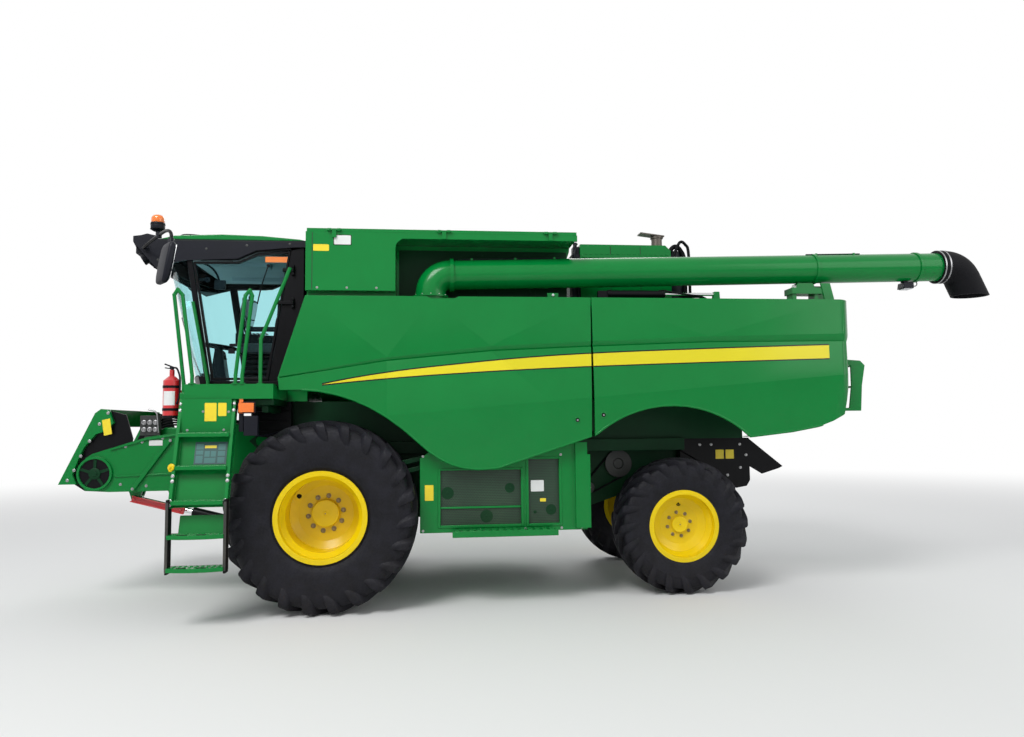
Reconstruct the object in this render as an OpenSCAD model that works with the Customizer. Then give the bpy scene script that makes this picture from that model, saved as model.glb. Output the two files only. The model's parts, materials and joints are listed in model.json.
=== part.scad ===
// Combine harvester without its header, unloading auger folded back.
// X runs rearward, the left side is at -Y and Z is up. Millimetres.
// The origin is on the ground under the middle of the overall box.
// Modules draw with X from the front axle and Y from the middle plane, and placed() moves them.

/* [Wheels and axles] */
// Distance between the axles
wheelbase = 3590; // [3400:10:3900]
// Radius of a front tyre over its lugs
front_tyre_r = 900; // [860:5:930]
// Width of a front tyre
front_tyre_w = 775; // [700:5:790]
// Distance between the front tyres' middles
front_track = 2465; // [2400:5:2600]
// Radius of a front rim's flange
front_rim_r = 430; // [400:5:460]
// Depth of a front disc behind the outer flange
front_disc_inset = 430; // [300:5:470]
// Radius of a rear tyre over its lugs
rear_tyre_r = 690; // [640:5:720]
// Width of a rear tyre
rear_tyre_w = 430; // [380:5:460]
// Distance between the rear tyres' middles
rear_track = 2040; // [1980:5:2200]
// Radius of a rear rim's flange
rear_rim_r = 365; // [340:5:390]
// Depth of a rear disc behind the outer flange
rear_disc_inset = 200; // [120:5:240]
// Height of a tyre's lugs
lug_h = 48; // [30:1:60]
// Distance of a kingpin from the middle
kingpin_y = 730; // [700:5:760]

/* [Body] */
// Outer face of the side shields, from the middle
side_y = 1500; // [1470:5:1540]
// Height of the side shields' top edge
shield_top_z = 3000; // [2960:5:3040]
// Thickness of a side shield's skin
skin = 30; // [15:1:40]
// Half width of the threshing body
body_y = 700; // [640:5:740]
// Half width of the body beside the steered wheels
waist_y = 470; // [420:5:490]
// Rise of the tank's rim over the unloading tube's axis
rim_rise = 365; // [340:5:440]
// Thickness of the tank's walls
tank_wall = 30; // [10:1:40]
// Thickness of a tank cover
cover_t = 32; // [15:1:45]

/* [Cab] */
// Outer face of the cab's sides, from the middle
cab_y = 880; // [840:5:920]
// Height of the cab floor's underside
cab_floor_z = 2150; // [2120:5:2180]
// Height of the cab roof's underside
cab_roof_z = 3600; // [3580:5:3620]
// Thickness of the cab's posts and walls
cab_wall = 45; // [30:1:60]
// Thickness of the cab's glass
glass_t = 8; // [5:1:12]

/* [Feeder] */
// Outer face of the feeder's sides, from the middle
feeder_y = 700; // [660:5:740]
// Thickness of the feeder's walls
feeder_wall = 16; // [8:1:30]
// Radius of the feeder drum's end ring
drum_r = 170; // [150:5:190]

/* [Auger] */
// Outer diameter of the unloading tube
auger_d = 300; // [260:5:330]
// Wall of the unloading tube
auger_wall = 10; // [6:1:20]
// Distance of the folded tube from the middle
auger_y = 1250; // [1220:5:1280]
// Rise of the folded tube toward its spout, in degrees
auger_rise = 1.6; // [0:0.1:2.4]
// Length of the tube from the elbow's axis to the spout
auger_len = 5480; // [5000:10:5700]

/* [Access] */
// Width of the ladder over its rails
ladder_w = 500; // [440:5:560]
// Diameter of the handrail tube
rail_d = 34; // [26:1:42]
// Height of the platform's deck
deck_z = 2140; // [2120:5:2145]

/* [Fits] */
// Running gap between a moving piece and its carrier
run_gap = 0.5; // [0.2:0.1:0.9]
// Gap round a door or shield
panel_gap = 12; // [8:1:20]
// Clearance of a piece that rests in its seat
seat_gap = 0.3; // [0.1:0.1:0.8]

/* [Hidden] */
$fn = 64;

// Front axle's place from the middle of the overall length
front_axle_x = -2164;
// The machine's middle plane, from the middle of the overall width with the ladder
mid_y = 104;
green = "#1c7a35";
dark_green = "#14602a";
yellow = "#f2c811";
black = "#1c1c1e";
grey = "#8b8f92";
left = -1;
right = 1;

rim_margin = 30;
rim_flange = 26;
seat_depth = 34;
front_tyre_y = front_track / 2;
rear_tyre_y = rear_track / 2;
front_disc_y = front_tyre_y + front_tyre_w / 2 - rim_margin - front_disc_inset;
rear_disc_y = rear_tyre_y + rear_tyre_w / 2 - rim_margin - rear_disc_inset;

// Draws its children with X measured from the front axle and Y from the machine's middle plane
module placed() translate([front_axle_x, mid_y, 0]) children();
// Box between two corners
module box(a, b) translate(a) cube(b - a);
// Outline in X and Z, extruded across from y0 to y1
module side_form(points, y0, y1) translate([0, y1, 0]) rotate([90, 0, 0]) linear_extrude(y1 - y0) polygon(points);
// The same on one hand: side is -1 on the left and 1 on the right, inner and outer are distances out
module hand_form(points, side, inner, outer)
    side_form(points, side < 0 ? -outer : inner, side < 0 ? -inner : outer);
// Round bar from p to q
module bar(p, q, d) {
    v = q - p;
    translate(p) rotate([0, acos(v.z / norm(v)), atan2(v.y, v.x)]) cylinder(h = norm(v), d = d);
}
// Tube through a list of points, with a ball a little larger than the tube in each bend
module tube_run(points, d) for (i = [0:len(points) - 2]) {
    bar(points[i], points[i + 1], d);
    if (i > 0) translate(points[i]) sphere(d / 2 + 1.5);
}
// Round bar along Y
module across(x, z, r, y0, y1) translate([x, y1, z]) rotate([90, 0, 0]) cylinder(h = y1 - y0, r = r);
// Mirrors to the right-hand side when side is 1
module handed(side) mirror([0, side > 0 ? 1 : 0, 0]) children();
// Points of a cubic curve
function curve(a, b, c, d, n) = [for (i = [0:n - 1]) let (t = i / n, s = 1 - t)
    a * s ^ 3 + b * 3 * s ^ 2 * t + c * 3 * s * t ^ 2 + d * t ^ 3];

// Tyre with bar lugs that lean to the middle, for a wheel whose axis is Y
module tyre(r, w, rim_r, lugs) {
    base_r = r - lug_h;
    half = w / 2;
    bead = half - rim_margin - rim_flange - seat_gap;
    // Columns: distance from the middle, radius
    section = [[bead, rim_r - seat_depth + seat_gap], [bead, rim_r + 8], [0.94 * half, rim_r + 44],
        [half, (base_r + rim_r) / 2 + 20], [0.97 * half, base_r - 70], [0.82 * half, base_r - 14], [0.4 * half, base_r]];
    ring = concat(section, [for (i = [len(section) - 1:-1:0]) [-section[i].x, section[i].y]]);
    lug_t = 2 * PI * r / lugs * 0.3;
    sweep = 360 / lugs;
    top_r = r * cos(sweep / 2);
    rotate([90, 0, 0]) {
        rotate_extrude($fn = 96) polygon([for (p = ring) [p.y, p.x]]);
        for (side = [-1, 1], i = [0:lugs - 1]) rotate([0, 0, (i + (side > 0 ? 0.5 : 0)) * sweep])
            intersection() {
                cross_form([[-lug_t / 2 - 30, -side * 12], [lug_t / 2 - 30, -side * 12], [lug_t * 0.6 + r * sin(sweep) * 0.8,
                    side * (half - 3)], [-lug_t * 0.5 + r * sin(sweep) * 0.8, side * (half - 3)]], base_r - 84, r);
                rotate([0, 0, sweep * 0.35]) translate([0, 0, -half]) cylinder(h = w, r = r);
            }
    }
}

// Rim with a dished disc: disc is the place of the disc's outer face on the axis, from the rim's middle
module rim(r, w, disc, hub_r, t) {
    half = w / 2;
    seat = r - seat_depth;
    well = r - 78;
    wall = 12;
    difference() {
        rotate([90, 0, 0]) rotate_extrude($fn = 96) polygon([[seat - wall, -half], [r, -half], [r, -half + rim_flange],
            [seat, -half + rim_flange], [seat, -half + 80], [well, -half + 130], [well, half - 130],
            [seat, half - 80], [seat, half - rim_flange], [r, half - rim_flange], [r, half],
            [seat - wall, half], [seat - wall, half - 84], [well - wall, half - 134], [well - wall, disc + 40],
            [well - 90, disc + t], [hub_r, disc + t], [hub_r, disc], [well - 86, disc],
            [well - wall, disc - 40], [well - wall, -half + 134], [seat - wall, -half + 84]]);
        children();
    }
}

// Where the feeder turns, and where its cylinders hold it
feeder_pivot = [-700, 0, 1600];
lift_anchor = [-450, 0, 620];
lift_eye = [-1980, 0, 1025];
lift_y = 560;
lift_pin_r = 25;
pivot_r = 60;
lift_eye_clearance = 16;
lift_len = norm(lift_eye - lift_anchor);
lift_tilt = atan2(lift_eye.z - lift_anchor.z, lift_anchor.x - lift_eye.x);
lift_barrel_len = 1010;

module tyre_front(side) color(black) placed() translate([0, side * front_tyre_y, front_tyre_r])
    tyre(front_tyre_r, front_tyre_w, front_rim_r, 20);
module tyre_rear(side) color(black) placed() translate([wheelbase, side * rear_tyre_y, rear_tyre_r])
    tyre(rear_tyre_r, rear_tyre_w, rear_rim_r, 18);

hub_spigot_r = 115;
rear_hub_spigot_r = 80;
disc_t = 18;
module rim_front(side) color(yellow) placed() translate([0, 0, front_tyre_r]) handed(-side)
    translate([0, front_tyre_y, 0])
        rim(front_rim_r, front_tyre_w - 2 * rim_margin, front_tyre_y - front_disc_y - disc_t, hub_spigot_r + run_gap, disc_t)
            across(-255, 170, 22, -front_tyre_w, front_tyre_w);
module rim_rear(side) color(yellow) placed() translate([wheelbase, 0, rear_tyre_r]) handed(-side)
    translate([0, rear_tyre_y, 0])
        rim(rear_rim_r, rear_tyre_w - 2 * rim_margin, rear_tyre_y - rear_disc_y - disc_t, rear_hub_spigot_r + run_gap, disc_t)
            across(0, 210, 12, -rear_tyre_w, rear_tyre_w);

// Outline in Y and Z, extruded from x0 to x1
module cross_form(points, x0, x1) translate([x0, 0, 0]) rotate([90, 0, 90]) linear_extrude(x1 - x0) polygon(points);
// Box and its mirror image on the other hand; y0 and y1 are distances out
module both(a, b) for (side = [left, right]) handed(side) box([a.x, -b.y, a.z], [b.x, -a.y, b.z]);

rail_in = body_y;
rail_out = body_y + 70;
rail_z0 = 1450;
rail_z1 = 1580;
body_front_x = -560;
body_mid_x = 2600;
body_rear_x = 4450;
body_top_z = 2000;
axle_top_z = 1060;
carrier_x0 = wheelbase - 150;
carrier_x1 = wheelbase + 150;
carrier_z = 1100;
chopper_x0 = 3770;
chopper_x1 = 4560;
chopper_top_z = 1570;
hitch_x = wheelbase + 640;
hitch_z = 800;
hitch_pin_r = 16;

module chassis() color(dark_green) placed() {
    for (side = [left, right]) handed(side) {
        box([body_front_x, -rail_out, rail_z0], [chopper_x0 - 10, -rail_in, rail_z1]);
        box([-260, -rail_out, axle_top_z], [260, -rail_in, rail_z0]);
        difference() {
            side_form([[body_front_x + 160, rail_z1], [body_front_x + 160, rail_z1 + 130], [feeder_pivot.x, rail_z1 + 130],
                [feeder_pivot.x - 130, feeder_pivot.z], [feeder_pivot.x, rail_z0 + 30], [body_front_x, rail_z0]],
                -rail_out, -rail_in - 30);
            across(feeder_pivot.x, feeder_pivot.z, pivot_r + run_gap, -rail_out - 1, -rail_in);
        }
    }
    difference() {
        union() {
            side_form([[carrier_x0, rear_tyre_r + 95], [carrier_x1, rear_tyre_r + 95], [carrier_x1 + 60, carrier_z],
                [carrier_x0 - 60, carrier_z]], -150, 150);
            box([carrier_x1 - 60, -70, hitch_z], [hitch_x + 60, 70, hitch_z + 120]);
        }
        box([hitch_x - 70, -80, hitch_z + 40], [hitch_x + 80, 80, hitch_z + 80]);
        translate([hitch_x, 0, hitch_z - 10]) cylinder(h = 140, r = hitch_pin_r);
    }
}

module separator_body() color(dark_green) placed() {
    side_form([[body_front_x, axle_top_z], [380, axle_top_z], [600, 790], [body_mid_x, 760],
        [body_mid_x, body_top_z], [body_front_x, body_top_z]], -body_y, body_y);
    side_form([[body_mid_x, 790], [3250, 1000], [3250, carrier_z], [chopper_x0, carrier_z],
        [chopper_x0, chopper_top_z], [body_mid_x, chopper_top_z]], -waist_y, waist_y);
    side_form([[body_mid_x, chopper_top_z], [body_rear_x, chopper_top_z], [body_rear_x, body_top_z],
        [body_mid_x, body_top_z]], -body_y, body_y);
}

module front_axle() color(dark_green) placed() {
    box([-150, -rail_out - 60, 790], [150, rail_out + 60, axle_top_z]);
    for (side = [left, right]) handed(side) {
        translate([0, 0, front_tyre_r]) {
            across(0, 0, 215, -rail_out - 180, -rail_out - 30);
            across(0, 0, 165, -front_disc_y + disc_t + run_gap - 18, -rail_out);
            across(0, 0, hub_spigot_r, -front_disc_y - 60, -rail_out);
        }
        difference() {
            side_form([[-150, 790], [-150, 900], [lift_anchor.x - 55, lift_anchor.z + 30],
                [lift_anchor.x - 45, lift_anchor.z - 55], [lift_anchor.x + 60, lift_anchor.z - 55]],
                -lift_y - 62, -lift_y + 62);
            box([lift_anchor.x - 80, -lift_y - 38, 500], [lift_anchor.x + 90, -lift_y + 38, 800]);
        }
        across(lift_anchor.x, lift_anchor.z, lift_pin_r, -lift_y - 70, -lift_y + 70);
    }
}

module engine_block() color(grey) placed() box([2950, -420, body_top_z], [4050, 420, 2850]);

auger_x = 1020;
auger_z = shield_top_z + 245;
tank_top_z = auger_z + rim_rise;
elbow_r = 190;
elbow_foot = 244;
turret_r = 158;
flange_t = 20;
tank_x0 = -170;
tank_x1 = 2470;
recess_x = 680;
recess_y = 1050;
upper_z = shield_top_z + 40;
// Height where the tank's floor begins to slope less
slope_z = upper_z - 420;
// Underside of the recess's floor
recess_z = upper_z - 160;
// Where the tank steps out over the shields' top edges
ledge_y = 1390;
sill_out = 1400;
hinge_y = 1440;
hinge_z = shield_top_z - 40;
hinge_pin_r = 10;
rear_lean = 170;
arch_foot_z = tank_top_z - 146;
// Hinges of the tank's covers: places along X, and the axis outside the wall
cover_hinges = [100, 1150, 2200];
cover_axis_y = side_y + 16;
cover_axis_z = tank_top_z + 16;
cover_pin_r = 8;
// Stations along X of the shields' hinges: place, length
front_hinges = [150, 2150];
rear_hinges = [2950, 4850];

// Outer face of the tank less t, with its left wall at out_left above the sloped floor
module tank_section(t, out_left, out_right, x0, x1) cross_form([[-240 + t, body_top_z + t * 1.2],
    [240 - t, body_top_z + t * 1.2], [1000 - t, slope_z + t * 0.2], [ledge_y - t, upper_z - 90], [ledge_y - t, upper_z + t * 0.6],
    [out_right - t, upper_z + t * 0.6], [out_right - t, tank_top_z + (t > 0 ? 50 : 0)],
    [-out_left + t, tank_top_z + (t > 0 ? 50 : 0)], each (out_left > ledge_y ? [[-out_left + t, upper_z + t * 0.6],
    [-ledge_y + t, upper_z + t * 0.6], [-ledge_y + t, upper_z - 90]] : [[-out_left + t, slope_z + 42]]),
    [-1000 + t, slope_z + t * 0.2]], x0, x1);

// What the rear wall's lean takes off the tank, or off its hollow when t is the wall
module rear_wedge(t) side_form([[tank_x1 - rear_lean - t, upper_z + 5 + t * 1.2], [tank_x1 + 10, upper_z + 5 + t * 1.2],
    [tank_x1 + 10, tank_top_z - 60], [tank_x1 - t, tank_top_z - 60]], -side_y - 10, side_y + 10);
module grain_tank() color(green) placed() {
    difference() {
        union() {
            difference() {
                tank_section(0, recess_y, side_y, tank_x0, tank_x1);
                rear_wedge(0);
            }
            tank_section(0, side_y, side_y, tank_x0, recess_x);
            both([tank_x0 + 20, 1330, upper_z - 120], [tank_x1, sill_out, upper_z - 50]);
            box([recess_x, -side_y, tank_top_z - 30], [tank_x1, -recess_y + 5, tank_top_z]);
            box([recess_x, -side_y, tank_top_z - 58], [tank_x1, -side_y + tank_wall, tank_top_z]);
            side_form(concat([[recess_x - 10, tank_top_z - 20], [recess_x - 10, arch_foot_z]], [for (a = [180:-15:90])
                [recess_x + 200 + 200 * cos(a), arch_foot_z + 116 * sin(a)]]), -side_y, -side_y + tank_wall);
            box([recess_x + 70, -1400, recess_z], [recess_x + 610, -990, recess_z + 40]);
            translate([auger_x, -auger_y, recess_z]) cylinder(h = auger_z - elbow_foot - seat_gap - recess_z, r = turret_r);
        }
        difference() {
            tank_section(tank_wall, recess_y, side_y, tank_x0 + tank_wall, tank_x1 - tank_wall);
            rear_wedge(tank_wall);
        }
        tank_section(tank_wall, side_y, side_y, tank_x0 + tank_wall, recess_x - tank_wall);
    }
    for (side = [left, right], x = front_hinges) handed(side) hinge_bracket(x);
    for (side = [left, right], x = cover_hinges) handed(side) {
        box([x - 20, -cover_axis_y - 6, tank_top_z - 60], [x + 20, -side_y, cover_axis_z]);
        translate([x - 70, -cover_axis_y, cover_axis_z]) rotate([0, 90, 0]) cylinder(h = 140, r = cover_pin_r);
    }
}

// Carrier of a shield's hinge: a plate out from the sill with its pin along X
module hinge_bracket(x) {
    box([x - 8, -hinge_y - 14, hinge_z - 16], [x + 8, -sill_out, hinge_z + 16]);
    translate([x - 40, -hinge_y, hinge_z]) rotate([0, 90, 0]) cylinder(h = 80, r = hinge_pin_r);
}
// Eyes of a shield's hinge on both sides of the bracket, drawn on the left
module hinge_eyes(x) for (s = [-1, 1]) difference() {
    translate([x + s * 25 - 12, 0, 0]) {
        box([0, -side_y + skin - 1, hinge_z - 20], [24, -hinge_y, hinge_z + 20]);
        translate([0, -hinge_y, hinge_z]) rotate([0, 90, 0]) cylinder(h = 24, r = 20);
    }
    translate([x - 45, -hinge_y, hinge_z]) rotate([0, 90, 0]) cylinder(h = 90, r = hinge_pin_r + run_gap);
}

deck_top_z = shield_top_z;
deck_x1 = 5270;
hood_x0 = 2620;
hood_x1 = 3620;
hood_top_z = deck_top_z + 668;
hood_y = 900;
cradle_x = 4965;
cradle_top_z = auger_z + (cradle_x - 115 - auger_x - elbow_r - flange_t) * sin(auger_rise) - auger_d / 2 - 3;
module engine_deck() color(green) placed() {
    translate([0, 0, deck_top_z - 40]) linear_extrude(40) polygon([[tank_x1, -sill_out], [deck_x1 - 90, -sill_out],
        [deck_x1, -sill_out + 90], [deck_x1, sill_out - 90], [deck_x1 - 90, sill_out], [tank_x1, sill_out]]);
    both([tank_x1, 1330, deck_top_z - 80], [deck_x1 - 90, sill_out, deck_top_z - 40]);
    for (side = [left, right], x = rear_hinges) handed(side) hinge_bracket(x);
    difference() {
        side_form([[hood_x0, deck_top_z], [hood_x0, hood_top_z], [hood_x1 - 60, hood_top_z], [hood_x1, hood_top_z - 60],
            [hood_x1, deck_top_z]], -hood_y, hood_y);
        side_form([[hood_x0 + 20, deck_top_z], [hood_x0 + 20, hood_top_z - 20], [hood_x1 - 70, hood_top_z - 20],
            [hood_x1 - 20, hood_top_z - 70], [hood_x1 - 20, deck_top_z]], -hood_y + 20, hood_y - 20);
    }
    // Cradle of the folded tube: a bar on legs, the saddle on it and a tapered plate behind
    box([cradle_x - 195, -auger_y - 90, deck_top_z + 75], [cradle_x + 145, -auger_y + 90, deck_top_z + 138]);
    for (x = [cradle_x - 180, cradle_x + 60]) box([x, -auger_y - 70, deck_top_z], [x + 40, -auger_y + 70, deck_top_z + 75]);
    side_form([[cradle_x - 135, deck_top_z + 138], [cradle_x - 115, cradle_top_z], [cradle_x + 48, cradle_top_z],
        [cradle_x + 80, deck_top_z + 138]], -auger_y - 60, -auger_y + 70);
    for (y = [-100, 76]) side_form([[cradle_x + 118, cradle_top_z - 8], [cradle_x + 218, cradle_top_z - 8],
        [cradle_x + 262, deck_top_z], [cradle_x + 160, deck_top_z], [cradle_x + 145, deck_top_z + 60]], -auger_y + y, -auger_y + y + 24);
    for (x = [body_mid_x + 100, body_rear_x - 100]) both([x - 50, 560, body_top_z], [x + 50, 660, deck_top_z - 40]);
}

module exhaust() color("#3a3b3d") placed() {
    translate([3588, -500, hood_top_z]) rotate_extrude() polygon([[0, 0], [60, 0], [60, 170], [72, 170], [72, 186], [0, 186]]);
    // Rain flap, open toward the cab
    translate([3660, -500, hood_top_z + 186]) rotate([0, 7, 0]) box([-280, -66, -4], [0, 66, 10]);
}
module air_cleaner() color(black) placed() {
    translate([3790, -420, deck_top_z]) {
        cylinder(h = 520, r = 130);
        translate([0, 0, 520]) cylinder(h = 70, r = 80);
        translate([0, 0, 590]) cylinder(h = 105, r = 115);
    }
}
screen_x = 3170;
screen_z = deck_top_z + 320;
screen_r = 290;
module cooling_screen() color(black) placed() difference() {
    union() {
        box([2700, hood_y, deck_top_z], [3620, 1400, hood_top_z - 30]);
        across(screen_x, screen_z, screen_r, 1400, 1440);
    }
    across(screen_x, screen_z, screen_r - 25, 1425, 1450);
}

hood_wrap = 230;
rear_x = 5350;
lip_z = 2655;
// The hood's outer face from top to bottom: X and Z
hood_face = [[rear_x, deck_top_z - 10], [rear_x, lip_z], [rear_x - 70, 2555], [rear_x - 62, 2370], [rear_x - 52, 2090],
    [rear_x - 80, 1952], [rear_x - 116, 1814]];
hood_t = 22;
// The same face moved in by the sheet's thickness, from bottom to top
hood_back = [for (i = [len(hood_face) - 1:-1:0]) hood_face[i] - [hood_t, i == 2 ? 8 : 0]];
// Rear ladder: Y of its two sides
rear_ladder_y = [-1230, -900];
module rear_hood() color(green) placed() {
    hood_half = side_y - hood_wrap - panel_gap;
    side_form(concat(hood_face, hood_back), -hood_half, hood_half);
    box([deck_x1, -hood_half, deck_top_z - 60], [rear_x - hood_t, hood_half, deck_top_z - 10]);
    for (y = rear_ladder_y) side_form([[rear_x - 60, 2400], [rear_x + 200, 2382], [rear_x + 252, 2330], [rear_x + 212, 2115],
        [rear_x + 192, 1850], [rear_x - 98, 1850], [rear_x - 98, 1880], [rear_x + 60, 1880], [rear_x + 92, 2115], [rear_x + 92, 2330],
        [rear_x - 60, 2360]], y, y + 20);
    for (p = [[rear_x + 205, 2340], [rear_x + 185, 2112], [rear_x + 168, 1880]])
        box([p.x - 60, rear_ladder_y[0], p.y - 14], [p.x, rear_ladder_y[1] + 20, p.y]);
}

cab_rear_x = -240;
cab_lean = 0.238;
cab_plan_r = 1908;
cab_nose_x = -1500;
// Heights of the front glass's edges
glass_z0 = 2260;
glass_z1 = 3440;
post_w = 85;
post_lean = 0.161;
// Edge of the door post at height z: side is -1 for its front and 1 for its rear
function post_x(z, side) = -1208 - (z - 2223) * post_lean + side * post_w / 2;
door_z0 = 2215;
// Rear edge of the door opening at height z
function door_rear_x(z) = -409 - (3560 - z) * 0.157;
// Plan of the cab at its floor, less t all round the front and sides
module cab_plan(t) polygon(concat(
    [for (a = [-27.5:5.5:27.5]) [cab_nose_x + cab_plan_r - (cab_plan_r - t) * cos(a), (cab_plan_r - t) * sin(a)
        * (cab_y - t) / ((cab_plan_r - t) * sin(27.5))]],
    [[600, cab_y - t], [600, -cab_y + t]]));
module cab_solid(t, z0, z1) translate([0, 0, cab_floor_z]) multmatrix([[1, 0, -cab_lean, 0], [0, 1, 0, 0], [0, 0, 1, 0]])
    translate([0, 0, z0 - cab_floor_z]) linear_extrude(z1 - z0) cab_plan(t);
// Outline of the door opening in X and Z, less g all round
function door_outline(g) = [[post_x(door_z0, 1) + g, door_z0 + g], [post_x(glass_z1, 1) + g, glass_z1 - g],
    [-942, glass_z1 + 6 - g], [-754, 3530 - g], [door_rear_x(3560) - g, 3560 - g], [door_rear_x(door_z0) - g, door_z0 + g]];
module front_glass_form() side_form([[-2300, glass_z0], [post_x(glass_z0, -1), glass_z0],
    [post_x(glass_z1, -1), glass_z1], [-2300, glass_z1]], -1000, 1000);
module cab_openings() {
    front_glass_form();
    for (side = [left, right]) hand_form(door_outline(0), side, 700, 1000);
    box([-400, -560, 2750], [-100, 560, 3300]);
}
module cab_frame() difference() {
    intersection() {
        cab_solid(0, cab_floor_z, cab_roof_z);
        box([-2300, -cab_y, cab_floor_z], [cab_rear_x, cab_y, cab_roof_z]);
    }
    intersection() {
        cab_solid(cab_wall, cab_floor_z + 50, cab_roof_z - cab_wall);
        box([-2300, -cab_y, cab_floor_z], [cab_rear_x - cab_wall, cab_y, cab_roof_z]);
    }
    cab_openings();
}
module cab_shell() color(black) placed() {
    cab_frame();
    for (z = door_hinge_z) {
        for (dz = [-32, 46]) box([hinge_x - 14, -door_hinge_y - 14, z + dz], [hinge_x + 14, -cab_y, z + dz + 26]);
        translate([hinge_x, -door_hinge_y, z - 30]) cylinder(h = 100, r = hinge_pin_r);
    }
}
module cab_glass() color([0.5, 0.65, 0.7, 0.4]) placed() {
    intersection() {
        difference() {
            cab_solid(14, glass_z0, glass_z1);
            cab_solid(14 + glass_t, glass_z0 - 50, glass_z1 + 50);
        }
        front_glass_form();
    }
    hand_form(door_outline(0), right, cab_y - 30, cab_y - 30 + glass_t);
    box([cab_rear_x - 30, -560, 2750], [cab_rear_x - 22, 560, 3300]);
}
// Visor over the windscreen, with skirts down the cab's sides and the beacon's foot
skirt_t = 25;
visor_z = cab_roof_z + 55;
// Height from which the visor hangs in front of the glass
visor_low_z = glass_z1 - 140;
visor_outline = [[-2075, cab_roof_z], [-2075, cab_roof_z + 40], [-2040, cab_roof_z + 72], [-1888, cab_roof_z + 92],
    [-1830, cab_roof_z + 109], [-1745, cab_roof_z + 90], [-1720, visor_z], [cab_rear_x - 20, visor_z],
    [cab_rear_x - 20, cab_roof_z - 10], [-393, cab_roof_z - 14], [-754, cab_roof_z - 50], [-942, glass_z1 + 22],
    [-1200, glass_z1 + 12], [-1454, glass_z1], [-1560, glass_z1 - 25], [-1745, glass_z1 - 74], [-1830, glass_z1 - 40]];
beacon = [-1790, -720, cab_roof_z + 180];
module cab_visor() color(black) placed() {
    difference() {
        intersection() {
            side_form(visor_outline, -cab_y - skirt_t, cab_y + skirt_t);
            translate([0, 0, visor_low_z]) linear_extrude(beacon.z + 20 - visor_low_z) polygon([[-1964, -cab_y - skirt_t], [-2030, -640], [-2075, -300],
                [-2075, 300], [-2030, 640], [-1964, cab_y + skirt_t], [0, cab_y + skirt_t], [0, -cab_y - skirt_t]]);
        }
        cab_solid(-seat_gap, visor_low_z, cab_roof_z + seat_gap);
        // Corners cut back under the lamps
        for (side = [left, right]) hand_form([[-2200, visor_low_z], [-1745, glass_z1 - 74],
            [-1964, cab_roof_z + 25], [-2200, cab_roof_z + 25]], side, 640, 1000);
    }
    translate(beacon) {
        translate([0, 0, -100]) cylinder(h = 100, r = 20);
        cylinder(h = 14, r1 = 46, r2 = 68);
        translate([0, 0, 14]) cylinder(h = 72, r = 70);
    }
}
module cab_roof() color(green) placed()
    side_form([[-1712, visor_z], [-1560, visor_z + 38], [-1100, visor_z + 57], [-700, visor_z + 47], [-323, visor_z + 16],
        [cab_rear_x - 10, visor_z]],
        -cab_y - 30, cab_y + 30);

seat_x = -860;
module seat() color(grey) placed() {
    box([seat_x - 200, -200, cab_floor_z + 50], [seat_x + 200, 200, cab_floor_z + 400]);
    box([seat_x - 260, -250, cab_floor_z + 400], [seat_x + 250, 250, cab_floor_z + 520]);
    side_form([[seat_x + 130, cab_floor_z + 520], [seat_x + 250, cab_floor_z + 520], [seat_x + 330, cab_floor_z + 1120],
        [seat_x + 240, cab_floor_z + 1120]], -230, 230);
}
wheel_at = [-1345, 0, cab_floor_z + 485];
module controls() color(black) placed() {
    side_form([[-1430, cab_floor_z + 50], [-1230, cab_floor_z + 50], [-1290, cab_floor_z + 440], [-1370, cab_floor_z + 475]], -75, 75);
    translate(wheel_at) rotate([0, 8, 0]) {
        difference() {
            cylinder(h = 30, r = 200);
            translate([0, 0, -1]) cylinder(h = 32, r = 173);
        }
        for (a = [90, 210, 330]) rotate([0, 0, a]) box([0, -16, 4], [180, 16, 22]);
        translate([0, 0, -30]) cylinder(h = 50, r = 45);
    }
    side_form([[seat_x - 380, cab_floor_z + 560], [seat_x + 200, cab_floor_z + 500], [seat_x + 200, cab_floor_z + 650],
        [seat_x - 380, cab_floor_z + 690]], 300, 520);
    box([seat_x - 60, 330, cab_floor_z + 50], [seat_x + 160, 480, cab_floor_z + 520]);
}

mirror_tube_d = 34;
mirror_y = 1630;
// Side view of a mirror's housing, which leans forward at its foot
mirror_side = [[-1443, 3425], [-1425, 3446], [-1335, 3446], [-1308, 3420], [-1308, 3360], [-1345, 3140], [-1392, 3068],
    [-1490, 3066], [-1516, 3090], [-1510, 3140]];
module mirrors() color(black) placed() for (side = [left, right]) handed(side) {
    tube_run([[-1838, -cab_y - skirt_t, 3559], [-1838, -cab_y - skirt_t - 50, 3559], [-1600, -1240, 3612], [-1443, -1500, 3592],
        [-1388, -1600, 3545], [-1388, -1600, 3446]], mirror_tube_d);
    side_form(mirror_side, -mirror_y - 130, -mirror_y + 130);
}
module lamps() color("#e8862a") placed() {
    translate(beacon + [0, 0, 86]) rotate_extrude() polygon([[0, 0], [66, 0], [66, 42], [61, 60], [48, 75], [26, 84], [0, 87]]);
    box([-735, -1640, 1880], [-600, -1612, 1965]);
    box([-735, -1612, 1870], [-700, -1592, platform_z]);
}

platform_x0 = -1225;
platform_x1 = -430;
platform_z = deck_z - 138;
module platform() color(green) placed() {
    side_form([[-1395, cab_floor_z], [-1395, cab_floor_z - 60], [platform_x0 + 30, body_top_z], [cab_rear_x, body_top_z],
        [cab_rear_x, cab_floor_z]], -840, 840);
    difference() {
        box([platform_x0, -1620, platform_z], [platform_x1, -cab_y - 6, deck_z]);
        box([platform_x0 + 30, -1590, platform_z - 1], [platform_x1 - 30, -cab_y - 40, deck_z - 12]);
    }
    box([platform_x0 + 30, -cab_y - 6, deck_z - 60], [platform_x1 - 30, -840, deck_z - 12]);
}

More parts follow.
